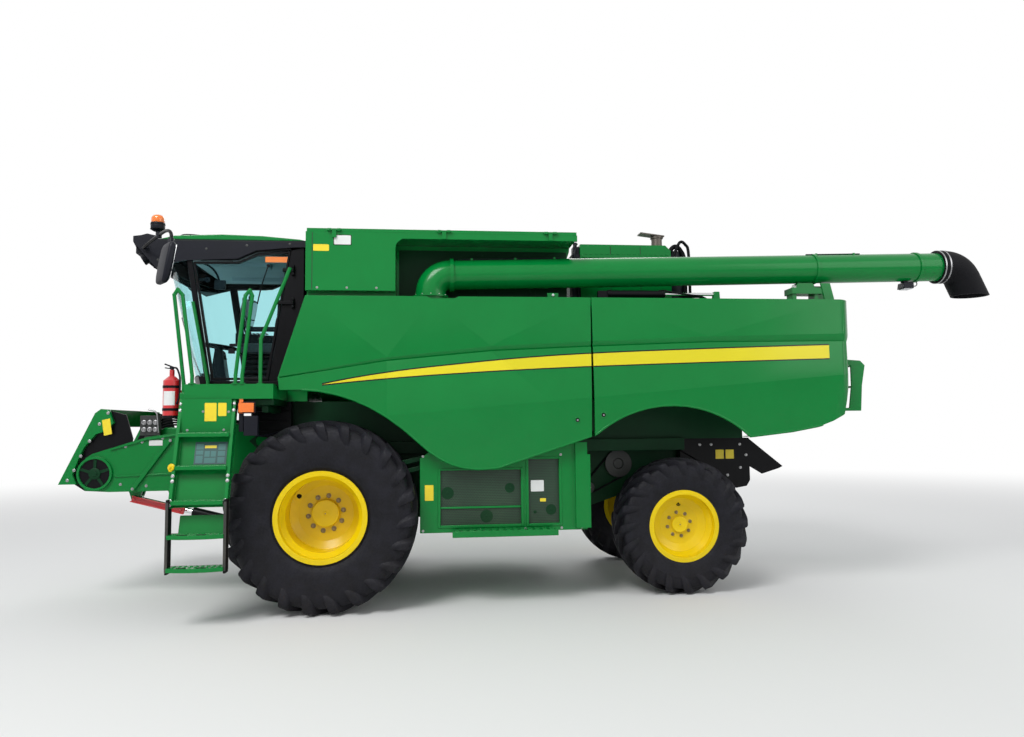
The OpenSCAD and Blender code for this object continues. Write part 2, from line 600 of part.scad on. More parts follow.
ladder_x0 = -1265;
ladder_x1 = ladder_x0 + ladder_w;
step_z = [1678, 1387, 1088];
low_step_z = [799, 518];
ladder_foot_z = 1040;
// Y of the ladder's front edge at height z
function ladder_y(z) = -1600 - (platform_z - z) * 0.29;
// Plan of a hanging step with its bowed front, from x0 to x1 and out from y
module bowed_step(x0, x1, y, z) {
    mid = (x0 + x1) / 2;
    translate([0, 0, z - 18]) linear_extrude(36) polygon(concat([for (i = [-4:4]) [mid + i * (x1 - x0) / 8,
        y - 96 + 40 * (i / 4) ^ 2]], [[x1, y + 90], [x0, y + 90]]));
}
module ladder() color(green) placed() {
    for (x = [ladder_x0, ladder_x1 - 30]) cross_form([[ladder_y(platform_z), platform_z], [ladder_y(ladder_foot_z), ladder_foot_z],
        [ladder_y(ladder_foot_z) + 90, ladder_foot_z], [ladder_y(platform_z) + 90, platform_z]], x, x + 30);
    // Closed back of the upper bays
    cross_form([[ladder_y(platform_z) + 74, platform_z], [ladder_y(ladder_foot_z) + 74, ladder_foot_z],
        [ladder_y(ladder_foot_z) + 86, ladder_foot_z], [ladder_y(platform_z) + 86, platform_z]], ladder_x0 + 30, ladder_x1 - 30);
    for (z = step_z) box([ladder_x0 + 30, ladder_y(z) - 30, z - 18], [ladder_x1 - 30, ladder_y(z) + 80, z + 18]);
    box([ladder_x0 + 30, ladder_y(1850), 1696], [ladder_x1 - 30, ladder_y(1850) + 14, platform_z]);
    box([ladder_x0, -1600, platform_z], [platform_x0, -1480, platform_z + 60]);
    for (x = [ladder_x0, ladder_x1 - 12]) box([x, ladder_y(1060) - 30, 480], [x + 12, ladder_y(1060) + 60, 1120]);
    for (z = low_step_z) bowed_step(ladder_x0 + 12, ladder_x1 - 12, ladder_y(1060), z);
    // Riser over the first hanging step
    cross_form([[ladder_y(1060) + 40, low_step_z[0]], [ladder_y(1060) + 78, low_step_z[0]], [ladder_y(1060) + 106, 970],
        [ladder_y(1060) + 94, 970]], ladder_x0 + 80, ladder_x1 - 12);
}
// Handrails: each is a list of points that its tube runs through, from a foot that stands upright
handrail_runs = [
    [[-1245, -1560, platform_z + 60], [-1245, -1560, 2150], [-1320, -1640, 2960], [-1290, -1640, 3010],
        [-1250, -1630, 2960], [-1160, -1600, deck_z + 80], [-1160, -1600, deck_z]],
    [[-775, -1600, deck_z], [-775, -1600, deck_z + 80], [-690, -1630, 2960], [-650, -1630, 3010], [-630, -1620, 2960],
        [-715, -1600, deck_z + 80], [-715, -1600, deck_z]],
    [[-1203, -930, deck_z], [-1203, -930, deck_z + 60], [-1362, -930, 3010]],
    [[-560, -1560, deck_z], [-560, -1560, 2560], [-300, -1560, 3240]]];
module handrails() color(green) placed() for (run = handrail_runs) tube_run(run, rail_d);
module extinguisher() color("#c8102e") placed() {
    translate([-1375, -1480, 1830]) {
        cylinder(h = 350, r = 75);
        translate([0, 0, 350]) cylinder(h = 40, r1 = 75, r2 = 30);
        translate([0, 0, 390]) cylinder(h = 60, r = 22);
        box([60, -20, 120], [ladder_x0 + 1375, 20, 260]);
    }
}

side_sheet_y = 1290;
side_x0 = 911;
side_x1 = 2560;
side_z0 = 700;
// Screens in the lower side: columns x0, x1, z0, z1
screens = [[1110, 1900, 770, 1300], [1975, 2280, 770, 1400]];
module lower_side(side) color(green) placed() handed(side) {
    difference() {
        side_form([[side_x0, side_z0], [side_x1, side_z0], [side_x1, 1560], [side_x0 + 200, 1560], [side_x0, 1420]],
            -side_sheet_y - 40, -side_sheet_y);
        for (s = screens) box([s[0], -side_sheet_y - 50, s[2]], [s[1], -side_sheet_y - 12, s[3]]);
    }
    box([1224, -1520, 683], [2234, -side_sheet_y - 40, 723]);
    for (x = [side_x0 + 100, side_x1 - 160]) box([x, -side_sheet_y, 1470], [x + 60, -rail_out, 1540]);
    box([side_x0 + 60, -side_sheet_y, side_z0], [side_x1, -body_y, side_z0 + 50]);
    box([side_x1, -side_sheet_y - 80, side_z0 + 20], [side_x1 + 30, -body_y, 1440]);
    box([side_x1 - 120, -side_sheet_y - 80, side_z0 + 20], [side_x1, -side_sheet_y - 40, 1560]);
}

chopper_y = 610;
module chopper() color(black) placed() {
    box([chopper_x0, -chopper_y + 30, 1250], [chopper_x1, chopper_y - 30, chopper_top_z]);
    for (side = [left, right]) handed(side) side_form([[chopper_x0, 1440], [3960, 1330], [4150, 1150], [4260, 1044],
        [4400, 1016], [chopper_x1 - 40, 1036], [chopper_x1, 1100], [chopper_x1, chopper_top_z],
        [chopper_x0, chopper_top_z]], -chopper_y, -chopper_y + 30);
    side_form([[chopper_x1, 1560], [4946, 1248], [4900, 1225], [chopper_x1, 1500]], -chopper_y, chopper_y);
    for (side = [left, right]) handed(side) side_form([[chopper_x1, 1500], [4900, 1225], [4700, 1166],
        [chopper_x1, 1250]], -chopper_y, -chopper_y + 12);
}

yoke_y = 620;
pin_r = 34;
module rear_axle() color(dark_green) placed() translate([wheelbase, 0, rear_tyre_r]) {
    box([-90, -yoke_y, -80], [90, yoke_y, 95]);
    for (side = [left, right]) handed(side) {
        box([-70, -yoke_y, -170], [70, -yoke_y + 90, -80]);
        box([-70, -yoke_y, 95], [70, -yoke_y + 90, 170]);
        for (z = [-170, 130]) translate([0, 0, z]) {
            box([-60, -kingpin_y, 0], [60, -yoke_y, 40]);
            translate([0, -kingpin_y, 0]) cylinder(h = 40, r = 60);
        }
        translate([0, -kingpin_y, -170]) cylinder(h = 340, r = pin_r);
    }
}
arm_x = 260;
tie_pin_r = 14;
tie_z = -100;
module knuckle(side) color(dark_green) placed() translate([wheelbase, 0, rear_tyre_r]) handed(side) difference() {
    union() {
        translate([0, -kingpin_y, -125]) cylinder(h = 250, r = 62);
        across(0, 0, 70, -rear_disc_y + disc_t + run_gap - 18, -kingpin_y);
        across(0, 0, 110, -rear_disc_y + disc_t + run_gap - 18, -kingpin_y - 130);
        across(0, 0, rear_hub_spigot_r, -rear_disc_y - 50, -kingpin_y);
        translate([0, -kingpin_y, tie_z]) linear_extrude(36) polygon([[0, -40], [arm_x, -26], [arm_x + 24, 0], [arm_x, 26],
            [0, 40]]);
        translate([arm_x, -kingpin_y, tie_z - 40]) cylinder(h = 60, r = tie_pin_r);
    }
    translate([0, -kingpin_y, -200]) cylinder(h = 400, r = pin_r + run_gap);
}
module tie_rod() color(grey) placed() translate([wheelbase + arm_x, 0, rear_tyre_r + tie_z - 34]) {
    for (side = [left, right]) handed(side) translate([0, -kingpin_y, 0]) difference() {
        cylinder(h = 30, r = 30);
        translate([0, 0, -1]) cylinder(h = 34, r = tie_pin_r + run_gap);
    }
    translate([0, 0, 15]) rotate([90, 0, 0]) translate([0, 0, -kingpin_y + 26]) cylinder(h = 2 * kingpin_y - 52, r = 18);
}

hinge_x = -385;
door_hinge_y = 912;
door_hinge_z = [2990, 3330];
door_frame_w = 26;
module cab_door() color(black) placed() {
    difference() {
        side_form(door_outline(panel_gap), -cab_y, -cab_y + 40);
        side_form(door_outline(panel_gap + door_frame_w), -cab_y - 10, -cab_y + 50);
    }
    for (z = door_hinge_z) difference() {
        union() {
            box([door_rear_x(z) - panel_gap - 34, -cab_y - 10, z], [door_rear_x(z) - panel_gap - 2, -cab_y, z + 40]);
            box([door_rear_x(z) - panel_gap - 34, -door_hinge_y, z], [hinge_x, -cab_y - 10, z + 40]);
            translate([hinge_x, -door_hinge_y, z]) cylinder(h = 40, r = 18);
        }
        translate([hinge_x, -door_hinge_y, z - 1]) cylinder(h = 42, r = hinge_pin_r + run_gap);
    }
}
module door_glass() color([0.5, 0.65, 0.7, 0.4]) placed()
    side_form(door_outline(panel_gap + door_frame_w), -cab_y + 14, -cab_y + 14 + glass_t);

feeder_outline = [[-2440, 1120], [-2520, 1300], [-2440, 1450], [-2379, 1490], [-1850, 1655], [-1500, 1700],
    [-820, 1790], [-640, 1690], [-600, 1600], [-640, 1480], [-760, 1180], [-1597, 1108], [-2207, 1105]];
feeder_cavity = [[-2700, 1136], [-2700, 1440], [-2379, 1472], [-1850, 1637], [-1500, 1682], [-820, 1770], [-400, 1640],
    [-400, 1200], [-760, 1198], [-1597, 1126], [-2207, 1123]];
drum = [-2345, 1292];
module feeder_house() color(green) placed() {
    difference() {
        side_form(feeder_outline, -feeder_y, feeder_y);
        side_form(feeder_cavity, -feeder_y + feeder_wall, feeder_y - feeder_wall);
    }
    for (side = [left, right]) handed(side) {
        difference() {
            across(drum.x, drum.y, drum_r, -feeder_y - 28, -feeder_y);
            across(drum.x, drum.y, drum_r - 22, -feeder_y - 40, -feeder_y - 8);
        }
        across(feeder_pivot.x, feeder_pivot.z, pivot_r, -rail_out, -feeder_y);
        difference() {
            side_form([[lift_eye.x - 70, 1115], [lift_eye.x + 70, 1115], [lift_eye.x + 30, lift_eye.z - 30],
                [lift_eye.x - 30, lift_eye.z - 30]], -lift_y - 60, -lift_y + 60);
            box([lift_eye.x - 90, -lift_y - 34, 900], [lift_eye.x + 90, -lift_y + 34, 1104]);
        }
        across(lift_eye.x, lift_eye.z, lift_pin_r, -lift_y - 60, -lift_y + 60);
    }
    across(drum.x, drum.y, 24, -feeder_y, feeder_y);
    across(drum.x, drum.y, 120, -feeder_y + 60, feeder_y - 60);
}
cheek_t = 45;
cheek = [[-2677, 1190], [-2345, 1900], [-2290, 1942], [-2215, 1935], [-2165, 1800], [-2240, 1720], [-2330, 1690],
    [-2440, 1560], [-2500, 1420], [-2545, 1290], [-2504, 1190]];
// Header's lock: a hole through each cheek into the sill behind it
lock = [-2590, 1232];
lock_r = 14;
module feeder_front() color(green) placed() difference() {
    feeder_frame();
    for (side = [left, right]) handed(side) across(lock.x, lock.y, lock_r, -feeder_y - cheek_t - 1, -feeder_y + 15);
}
module feeder_frame() {
    for (side = [left, right]) hand_form(cheek, side, feeder_y, feeder_y + cheek_t);
    side_form([[-2345, 1900], [-2290, 1942], [-2215, 1935], [-2300, 1760], [-2400, 1785]], -feeder_y, feeder_y);
    side_form([[-2677, 1190], [-2625, 1300], [-2575, 1280], [-2545, 1190]], -feeder_y, feeder_y);
}

// Dark webs that join the cheeks to the feeder's sides behind them
web = [[-2545, 1190], [-2575, 1280], [-2575, 1330], [-2400, 1700], [-2330, 1745], [-2300, 1759], [-2219, 1925], [-2060, 1880],
    [-1990, 1640], [-2000, 1560], [-2400, 1300], [-2440, 1120]];
module feeder_webs() color(black) placed() difference() {
    for (side = [left, right]) hand_form(web, side, feeder_y - feeder_wall, feeder_y);
    side_form(feeder_outline, -feeder_y - 1, feeder_y + 1);
}

module lift_frame() placed() translate(lift_anchor) rotate([0, -90 + lift_tilt, 0]) children();
module lift_barrel(side) color(black) lift_frame() handed(side) translate([0, -lift_y, 0]) difference() {
    union() {
        across(0, 0, 45, -34, 34);
        cylinder(h = 90, r = 32);
        translate([0, 0, 85]) cylinder(h = lift_barrel_len - 85, r = 48);
    }
    across(0, 0, lift_pin_r + run_gap, -60, 60);
    translate([0, 0, 100]) cylinder(h = lift_barrel_len, r = 26 + run_gap);
}
module lift_rod(side) color("silver") lift_frame() handed(side) translate([0, -lift_y, 0]) difference() {
    union() {
        translate([0, 0, 470]) cylinder(h = lift_len - 470 - 45, r = 26);
        translate([0, 0, lift_len]) across(0, 0, 56, -28, 28);
    }
    translate([0, 0, lift_len]) across(0, 0, lift_pin_r + lift_eye_clearance, -40, 40);
}

module auger_frame() placed() translate([auger_x, -auger_y, auger_z]) children();
module pipe(h, r, t) difference() {
    cylinder(h = h, r = r);
    translate([0, 0, -1]) cylinder(h = h + 2, r = r - t);
}
// Places of the tube's flange rings, from the elbow's end
tube_rings = [auger_len - 1675, auger_len - 522];
module auger_elbow() color(green) auger_frame() {
    r = auger_d / 2;
    translate([0, 0, -elbow_foot]) pipe(elbow_foot - elbow_r, turret_r, turret_r - r + auger_wall);
    translate([elbow_r, 0, -elbow_r]) rotate([90, 0, 180]) rotate_extrude(angle = 90) translate([elbow_r, 0])
        difference() {
            circle(r);
            circle(r - auger_wall);
        }
    translate([elbow_r, 0, 0]) rotate([0, 90, 0]) pipe(flange_t, r + 20, 20 + auger_wall);
}
module auger_tube() color(green) auger_frame() difference() {
    r = auger_d / 2;
    translate([elbow_r + flange_t - 4, 0, 0]) rotate([0, 90 - auger_rise, 0]) {
        translate([0, 0, -20]) pipe(flange_t + 24, r + 20, 20 + auger_wall);
        translate([0, 0, -20]) pipe(auger_len - elbow_r + 20, r, auger_wall);
        for (z = tube_rings) translate([0, 0, z]) pipe(30, r + 12, 12 + auger_wall / 2);
    }
    // Its end lies flat on the elbow's flange
    box([0, -r - 40, -r - 40], [elbow_r + flange_t, r + 40, r + 40]);
}
spout_r = 172;
spout_bend_r = 215;
spout_angle = 67;
spout_wall = 12;
mouth_z = 3080;
module auger_spout() color(black) auger_frame() difference() {
    translate([elbow_r + flange_t - 4, 0, 0]) rotate([0, -auger_rise, 0]) translate([auger_len - elbow_r, 0, 0]) {
        difference() {
            translate([-70, 0, 0]) rotate([0, 90, 0]) cylinder(h = 98, r = spout_r + 4);
            translate([-71, 0, 0]) rotate([0, 90, 0]) cylinder(h = 100, r = auger_d / 2 + seat_gap);
        }
        translate([26, 0, -spout_bend_r]) {
            rotate([90, 0, 0]) rotate([0, 0, 90 - spout_angle]) rotate_extrude(angle = spout_angle)
                translate([spout_bend_r, 0]) difference() {
                    circle(spout_r);
                    circle(spout_r - spout_wall);
                }
            rotate([0, spout_angle, 0]) translate([-4, 0, spout_bend_r]) rotate([0, 90, 0])
                pipe(340, spout_r + 2, spout_wall + 4);
        }
    }
    box([0, -400, -1000], [auger_len + 1200, 400, mouth_z - auger_z]);
}

cover_z = tank_top_z + seat_gap;
module tank_cover(side) color(green) placed() handed(side) {
    box([tank_x0 + 10, -side_y + seat_gap, cover_z], [tank_x1 - 6, -8, cover_z + cover_t]);
    for (x = cover_hinges, s = [-1, 1]) difference() {
        union() {
            box([x + s * 45 - 18, -cover_axis_y, cover_axis_z - 8], [x + s * 45 + 18, -side_y + 2, cover_axis_z + 8]);
            translate([x + s * 45 - 18, -cover_axis_y, cover_axis_z]) rotate([0, 90, 0]) cylinder(h = 36, r = 14);
        }
        translate([x - 80, -cover_axis_y, cover_axis_z]) rotate([0, 90, 0]) cylinder(h = 160, r = cover_pin_r + run_gap);
    }
    for (x = [200:520:2280]) box([x, -side_y + 60, cover_z + cover_t], [x + 60, -60, cover_z + 12 + cover_t]);
}

// Side shields, drawn on the left
shield_gap_x = 2597;
front_outline = concat([[-170, shield_top_z - 10], [-415, 2205], [-400, 2088]],
    curve([-395, 2086], [100, 2120], [500, 1960], [900, 1580], 8),
    curve([900, 1580], [1180, 1300], [1450, 1270], [1800, 1348], 8),
    [[shield_gap_x - panel_gap / 2, 1620], [shield_gap_x - panel_gap / 2, shield_top_z - 10], [1290, shield_top_z - 10],
    [1240, shield_top_z - 35], [1030, shield_top_z - 35], [980, shield_top_z - 10]]);
arch_r = 1195;
arch_x = 3407;
arch_z = 720;
rear_outline = concat([[shield_gap_x + panel_gap / 2, shield_top_z - 10]],
    [for (a = [131:-6:47]) [arch_x + arch_r * cos(a), arch_z + arch_r * sin(a)]],
    [[4665, 1642], [4954, 1693], [5102, 1747], [rear_x - 122, 1814], [rear_x - 86, 1952], [rear_x - 58, 2090],
        [rear_x - 68, 2370], [rear_x - 76, 2555], [rear_x - 6, lip_z], [rear_x - 6, shield_top_z - 10]]);
front_groove = [[-400, 2214], [600, 2395], [1600, 2505], [shield_gap_x, 2555], [shield_gap_x, 2500], [1600, 2455],
    [600, 2360], [-400, 2200]];
rear_groove = [[shield_gap_x, 2555], [3800, 2605], [rear_x + 60, 2642], [rear_x + 60, 2560], [3800, 2545],
    [shield_gap_x, 2500]];
// Solid bounded by the shield's outer face, moved in by t
module shield_solid(points, corner, t) translate([corner ? -t : 0, t, 0]) difference() {
    side_form(points, -side_y, -side_y + 240);
    side_form(points[0].x < 0 ? front_groove : rear_groove, -side_y - 1, -side_y + 16);
    if (corner) translate([0, 0, 1500]) linear_extrude(1600) difference() {
        translate([rear_x - 230, -side_y - 10]) square([300, 250]);
        translate([rear_x - 230, -side_y + 230]) circle(244);
        translate([rear_x - 230, -side_y + 230]) square([300, 40]);
    }
}
module shield(points, corner, hinges) {
    difference() {
        shield_solid(points, corner, 0);
        shield_solid(points, corner, skin);
        box([-600, -side_y + 232, 1200], [6000, -side_y + 600, 3100]);
    }
    for (x = hinges) hinge_eyes(x);
}
module shield_front(side) color(green) placed() handed(side) shield(front_outline, false, front_hinges);
module shield_rear(side) color(green) placed() handed(side) shield(rear_outline, true, rear_hinges);

chassis();
separator_body();
front_axle();
engine_block();
grain_tank();
engine_deck();
exhaust();
air_cleaner();
cooling_screen();
rear_hood();
cab_shell();
cab_visor();
cab_roof();
cab_glass();
seat();
controls();
mirrors();
lamps();
platform();
ladder();
handrails();
extinguisher();
lower_side(left);  // lower_side_left
lower_side(right);  // lower_side_right
chopper();
rear_axle();
cab_door();
door_glass();
feeder_house();
feeder_front();
feeder_webs();
lift_barrel(left);  // lift_barrel_left
lift_barrel(right);  // lift_barrel_right
lift_rod(left);  // lift_rod_left
lift_rod(right);  // lift_rod_right
auger_elbow();
auger_tube();
auger_spout();
tank_cover(left);  // tank_cover_left
tank_cover(right);  // tank_cover_right
shield_front(left);  // shield_front_left
shield_front(right);  // shield_front_right
shield_rear(left);  // shield_rear_left
shield_rear(right);  // shield_rear_right
tyre_front(left);  // tyre_front_left
tyre_front(right);  // tyre_front_right
rim_front(left);  // rim_front_left
rim_front(right);  // rim_front_right
tyre_rear(left);  // tyre_rear_left
tyre_rear(right);  // tyre_rear_right
rim_rear(left);  // rim_rear_left
rim_rear(right);  // rim_rear_right
knuckle(left);  // knuckle_left
knuckle(right);  // knuckle_right
tie_rod();
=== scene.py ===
import json
import math

import bmesh
import bpy
from mathutils import Matrix, Vector


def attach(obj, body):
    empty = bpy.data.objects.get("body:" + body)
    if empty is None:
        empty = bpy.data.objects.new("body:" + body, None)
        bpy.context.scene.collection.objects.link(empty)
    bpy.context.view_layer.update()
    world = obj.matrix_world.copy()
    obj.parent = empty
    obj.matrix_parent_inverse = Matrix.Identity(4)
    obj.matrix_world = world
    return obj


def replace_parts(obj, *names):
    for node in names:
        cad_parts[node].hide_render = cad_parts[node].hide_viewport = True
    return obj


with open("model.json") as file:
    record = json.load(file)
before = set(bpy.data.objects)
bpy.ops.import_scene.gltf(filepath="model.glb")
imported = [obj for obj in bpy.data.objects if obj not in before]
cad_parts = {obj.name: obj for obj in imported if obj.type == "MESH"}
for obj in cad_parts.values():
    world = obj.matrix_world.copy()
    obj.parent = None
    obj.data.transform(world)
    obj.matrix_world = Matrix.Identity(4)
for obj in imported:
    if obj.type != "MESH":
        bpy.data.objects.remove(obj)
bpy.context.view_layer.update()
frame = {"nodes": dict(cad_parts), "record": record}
# Finishes that the record doesn't list, each with a slot of the record
SLOT_FOR = {"seam_shadow": "black_paint", "dark_steel": "bare_steel", "wheel_nut": "bare_steel",
            "mesh_sheet": "dark_green_paint", "tread_plate": "dark_green_paint", "pale_green": "dark_green_paint",
            "mirror_silver": "chrome_rod", "lining": "black_plastic", "red_lens": "amber_lens"}

# Lengths below are millimetres, with X measured from the front axle and Y from the middle plane, as in the CAD source.
AXLE_X, MID_Y = -2164.0, 104.0
LEFT, RIGHT = -1, 1
SIDES = ((LEFT, "left"), (RIGHT, "right"))
UP = (0, 0, 1)
# Faces that small parts sit on, as distances from the middle plane
SHIELD_Y, TANK_Y, SHEET_Y, CHOPPER_Y, FEEDER_Y, CHEEK_Y, CAB_Y = 1500, 1499, 1329, 610, 700, 745, 880
PLATFORM_Z, HANGING_STEPS, SEAT_X = 2140, (799, 518), -860


def world_point(p):
    return Vector(((p[0] + AXLE_X) / 1000, (p[1] + MID_Y) / 1000, p[2] / 1000))


# ---------------------------------------------------------------- shapes
BOX_FACES = [(0, 3, 2, 1), (4, 5, 6, 7), (0, 1, 5, 4), (1, 2, 6, 5), (2, 3, 7, 6), (3, 0, 4, 7)]


class Shape:
    """A mesh built from simple forms, in millimetres, that becomes one object."""

    def __init__(self):
        self.verts, self.faces = [], []

    def add(self, verts, faces):
        n = len(self.verts)
        self.verts += [tuple(v) for v in verts]
        self.faces += [[i + n for i in f] for f in faces]
        return self

    def box(self, a, b):
        x0, y0, z0 = (min(a[i], b[i]) for i in range(3))
        x1, y1, z1 = (max(a[i], b[i]) for i in range(3))
        v = [(x, y, z) for z in (z0, z1) for x, y in ((x0, y0), (x1, y0), (x1, y1), (x0, y1))]
        return self.add(v, BOX_FACES)

    def prism(self, points, plane, lo, hi):
        """Outline in a plane ("xz", "yz" or "xy"), extruded along the third axis from lo to hi."""
        put = {"xz": lambda p, h: (p[0], h, p[1]),
               "yz": lambda p, h: (h, p[0], p[1]),
               "xy": lambda p, h: (p[0], p[1], h)}[plane]
        n = len(points)
        v = [put(p, lo) for p in points] + [put(p, hi) for p in points]
        ends = [list(range(n)), list(range(2 * n - 1, n - 1, -1))]
        return self.add(v, ends + [(i, i + n, (i + 1) % n + n, (i + 1) % n) for i in range(n)])

    def on_side(self, points, side, inner, outer):
        """Outline in X and Z on one side of the machine, between two distances from its middle plane."""
        return self.prism(points, "xz", side * inner, side * outer)

    def ring(self, centre, axis, radius, n):
        u, w = cross_axes(axis)
        turns = [2 * math.pi * i / n for i in range(n)]
        return [Vector(centre) + radius * (math.cos(a) * u + math.sin(a) * w) for a in turns]

    def skin(self, rings, closed=False, caps=True):
        """Joins rings of equally many points; closed joins the last one to the first."""
        n, m = len(rings[0]), len(rings)
        v = [p for r in rings for p in r]
        f = [(i * n + j, i * n + (j + 1) % n, ((i + 1) % m) * n + (j + 1) % n, ((i + 1) % m) * n + j)
             for i in range(m if closed else m - 1) for j in range(n)]
        if caps and not closed:
            f += [list(range(n - 1, -1, -1)), list(range((m - 1) * n, m * n))]
        return self.add(v, f)

    def rod(self, p, q, r, n=16):
        axis = Vector(q) - Vector(p)
        return self.skin([self.ring(p, axis, r, n), self.ring(q, axis, r, n)])

    def tube(self, points, r, n=10, smooth=0):
        pts = [Vector(p) for p in points]
        if smooth:
            pts = smoothed(pts, smooth)
        u = None
        rings = []
        for i, p in enumerate(pts):
            t = (pts[min(i + 1, len(pts) - 1)] - pts[max(i - 1, 0)]).normalized()
            if u is None:
                u = cross_axes(t)[0]
            u = (u - t * u.dot(t)).normalized()
            w = t.cross(u)
            rings.append([p + r * (math.cos(2 * math.pi * j / n) * u + math.sin(2 * math.pi * j / n) * w)
                    for j in range(n)])
        return self.skin(rings)

    def lathe(self, profile, centre, axis, n=48, closed=False):
        """Profile of (distance along the axis, radius), turned round it; a first or last radius of 0 closes it."""
        a = Vector(axis).normalized()
        return self.skin([self.ring(Vector(centre) + a * d, a, max(r, 0.01), n) for d, r in profile], closed)

    def band(self, centre, axis, inner, outer, width, n=40):
        """Flat ring round an axis."""
        return self.lathe([(0, inner), (0, outer), (width, outer), (width, inner)], centre, axis, n)

    def grip(self, at, n=14):
        """Raised ring of a tread plate."""
        return self.lathe([(-1, 15), (3, 14), (5, 10), (3, 7), (-1, 6)], at, UP, n)

    def bolts(self, places, normal, r, h, washer=True):
        for at in places:
            self.bolt(at, normal, r, h, washer)
        return self

    def bolt(self, at, normal, r, h, washer=True):
        a = Vector(normal).normalized()
        at = Vector(at)
        if washer:
            self.lathe([(-1, r * 1.45), (1.6, r * 1.45), (2.4, r * 1.35), (2.4, 0)], at, a, 16)
        self.lathe([(0, r), (h * 0.8, r), (h, r * 0.82), (h, 0)], at, a, 6)
        return self

    def make(self, name, finish, body="machine", slot=None, bevel=0, smooth=38, segments=2):
        """The finished object, riding on a body; its slot argument is not used."""
        mesh = bpy.data.meshes.new(name)
        mesh.from_pydata([world_point(v) for v in self.verts], [], self.faces)
        mesh.validate()
        mesh.update()
        obj = bpy.data.objects.new(name, mesh)
        bpy.context.scene.collection.objects.link(obj)
        mesh.materials.append(MAT[finish])
        fix_normals(mesh)
        if bevel:
            m = obj.modifiers.new("edge", "BEVEL")
            m.width, m.segments, m.limit_method, m.angle_limit = bevel / 1000, segments, "ANGLE", math.radians(32)
        mesh.polygons.foreach_set("use_smooth", [True] * len(mesh.polygons))
        mesh.set_sharp_from_angle(angle=math.radians(smooth))
        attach(obj, body)
        slot = slot or SLOT_FOR.get(finish, finish)
        return obj


def cross_axes(axis):
    a = Vector(axis).normalized()
    u = a.cross(Vector((0, 0, 1)) if abs(a.z) < 0.9 else Vector((1, 0, 0))).normalized()
    return u, a.cross(u)


def smoothed(pts, steps):
    """Points of a smooth curve through pts."""
    out = []
    for i in range(len(pts) - 1):
        a, b, c, d = pts[max(i - 1, 0)], pts[i], pts[i + 1], pts[min(i + 2, len(pts) - 1)]
        for s in range(steps):
            t = s / steps
            out.append(0.5 * ((2 * b) + (c - a) * t + (2 * a - 5 * b + 4 * c - d) * t * t
                              + (3 * b - a - 3 * c + d) * t ** 3))
    return out + [pts[-1]]


def fix_normals(mesh):
    bm = bmesh.new()
    bm.from_mesh(mesh)
    bmesh.ops.recalc_face_normals(bm, faces=bm.faces)
    bm.to_mesh(mesh)
    bm.free()


def rounded(x0, z0, x1, z1, r, n=4):
    """Outline of a rectangle with round corners."""
    pts = []
    for cx, cz, a in ((x1 - r, z1 - r, 0), (x0 + r, z1 - r, 90), (x0 + r, z0 + r, 180), (x1 - r, z0 + r, 270)):
        pts += [(cx + r * math.cos(math.radians(a + 90 * i / n)), cz + r * math.sin(math.radians(a + 90 * i / n)))
                for i in range(n + 1)]
    return pts


# ---------------------------------------------------------------- materials
class Nodes:
    """Short names for building node trees."""

    def __init__(self, tree):
        self.tree = tree

    def new(self, kind, **settings):
        n = self.tree.nodes.new("ShaderNode" + kind)
        for k, v in settings.items():
            setattr(n, k, v)
        return n

    def join(self, value, socket):
        if isinstance(value, bpy.types.NodeSocket):
            self.tree.links.new(value, socket)
        elif value is not None:
            socket.default_value = value
        return socket

    def math(self, op, a, b=None, clamp=False):
        n = self.new("Math", operation=op, use_clamp=clamp)
        self.join(a, n.inputs[0])
        self.join(b, n.inputs[1])
        return n.outputs[0]

    def ramp(self, value, low, high, to_low=0.0, to_high=1.0, smooth=True):
        n = self.new("MapRange", interpolation_type="SMOOTHSTEP" if smooth else "LINEAR")
        for i, v in enumerate((value, low, high, to_low, to_high)):
            self.join(v, n.inputs[i])
        return n.outputs[0]

    def noise(self, vector, scale, detail=3.0, roughness=0.55):
        n = self.new("TexNoise")
        self.join(vector, n.inputs["Vector"])
        for socket, value in (("Scale", scale), ("Detail", detail), ("Roughness", roughness)):
            n.inputs[socket].default_value = value
        return n.outputs["Fac"]

    def mix(self, factor, a, b):
        n = self.new("Mix", data_type="RGBA")
        self.join(factor, n.inputs["Factor"])
        self.join(a, n.inputs[6])
        self.join(b, n.inputs[7])
        return n.outputs[2]

    def use(self, tree, **values):
        n = self.new("Group")
        n.node_tree = tree
        for k, v in values.items():
            self.join(v, n.inputs[k])
        return n


def new_group(name, ins, outs):
    t = bpy.data.node_groups.new(name, "ShaderNodeTree")
    for n, kind, default in ins:
        s = t.interface.new_socket(n, in_out="INPUT", socket_type="NodeSocket" + kind)
        s.default_value = default
    for n, kind in outs:
        t.interface.new_socket(n, in_out="OUTPUT", socket_type="NodeSocket" + kind)
    k = Nodes(t)
    return t, k, t.nodes.new("NodeGroupInput").outputs, t.nodes.new("NodeGroupOutput").inputs


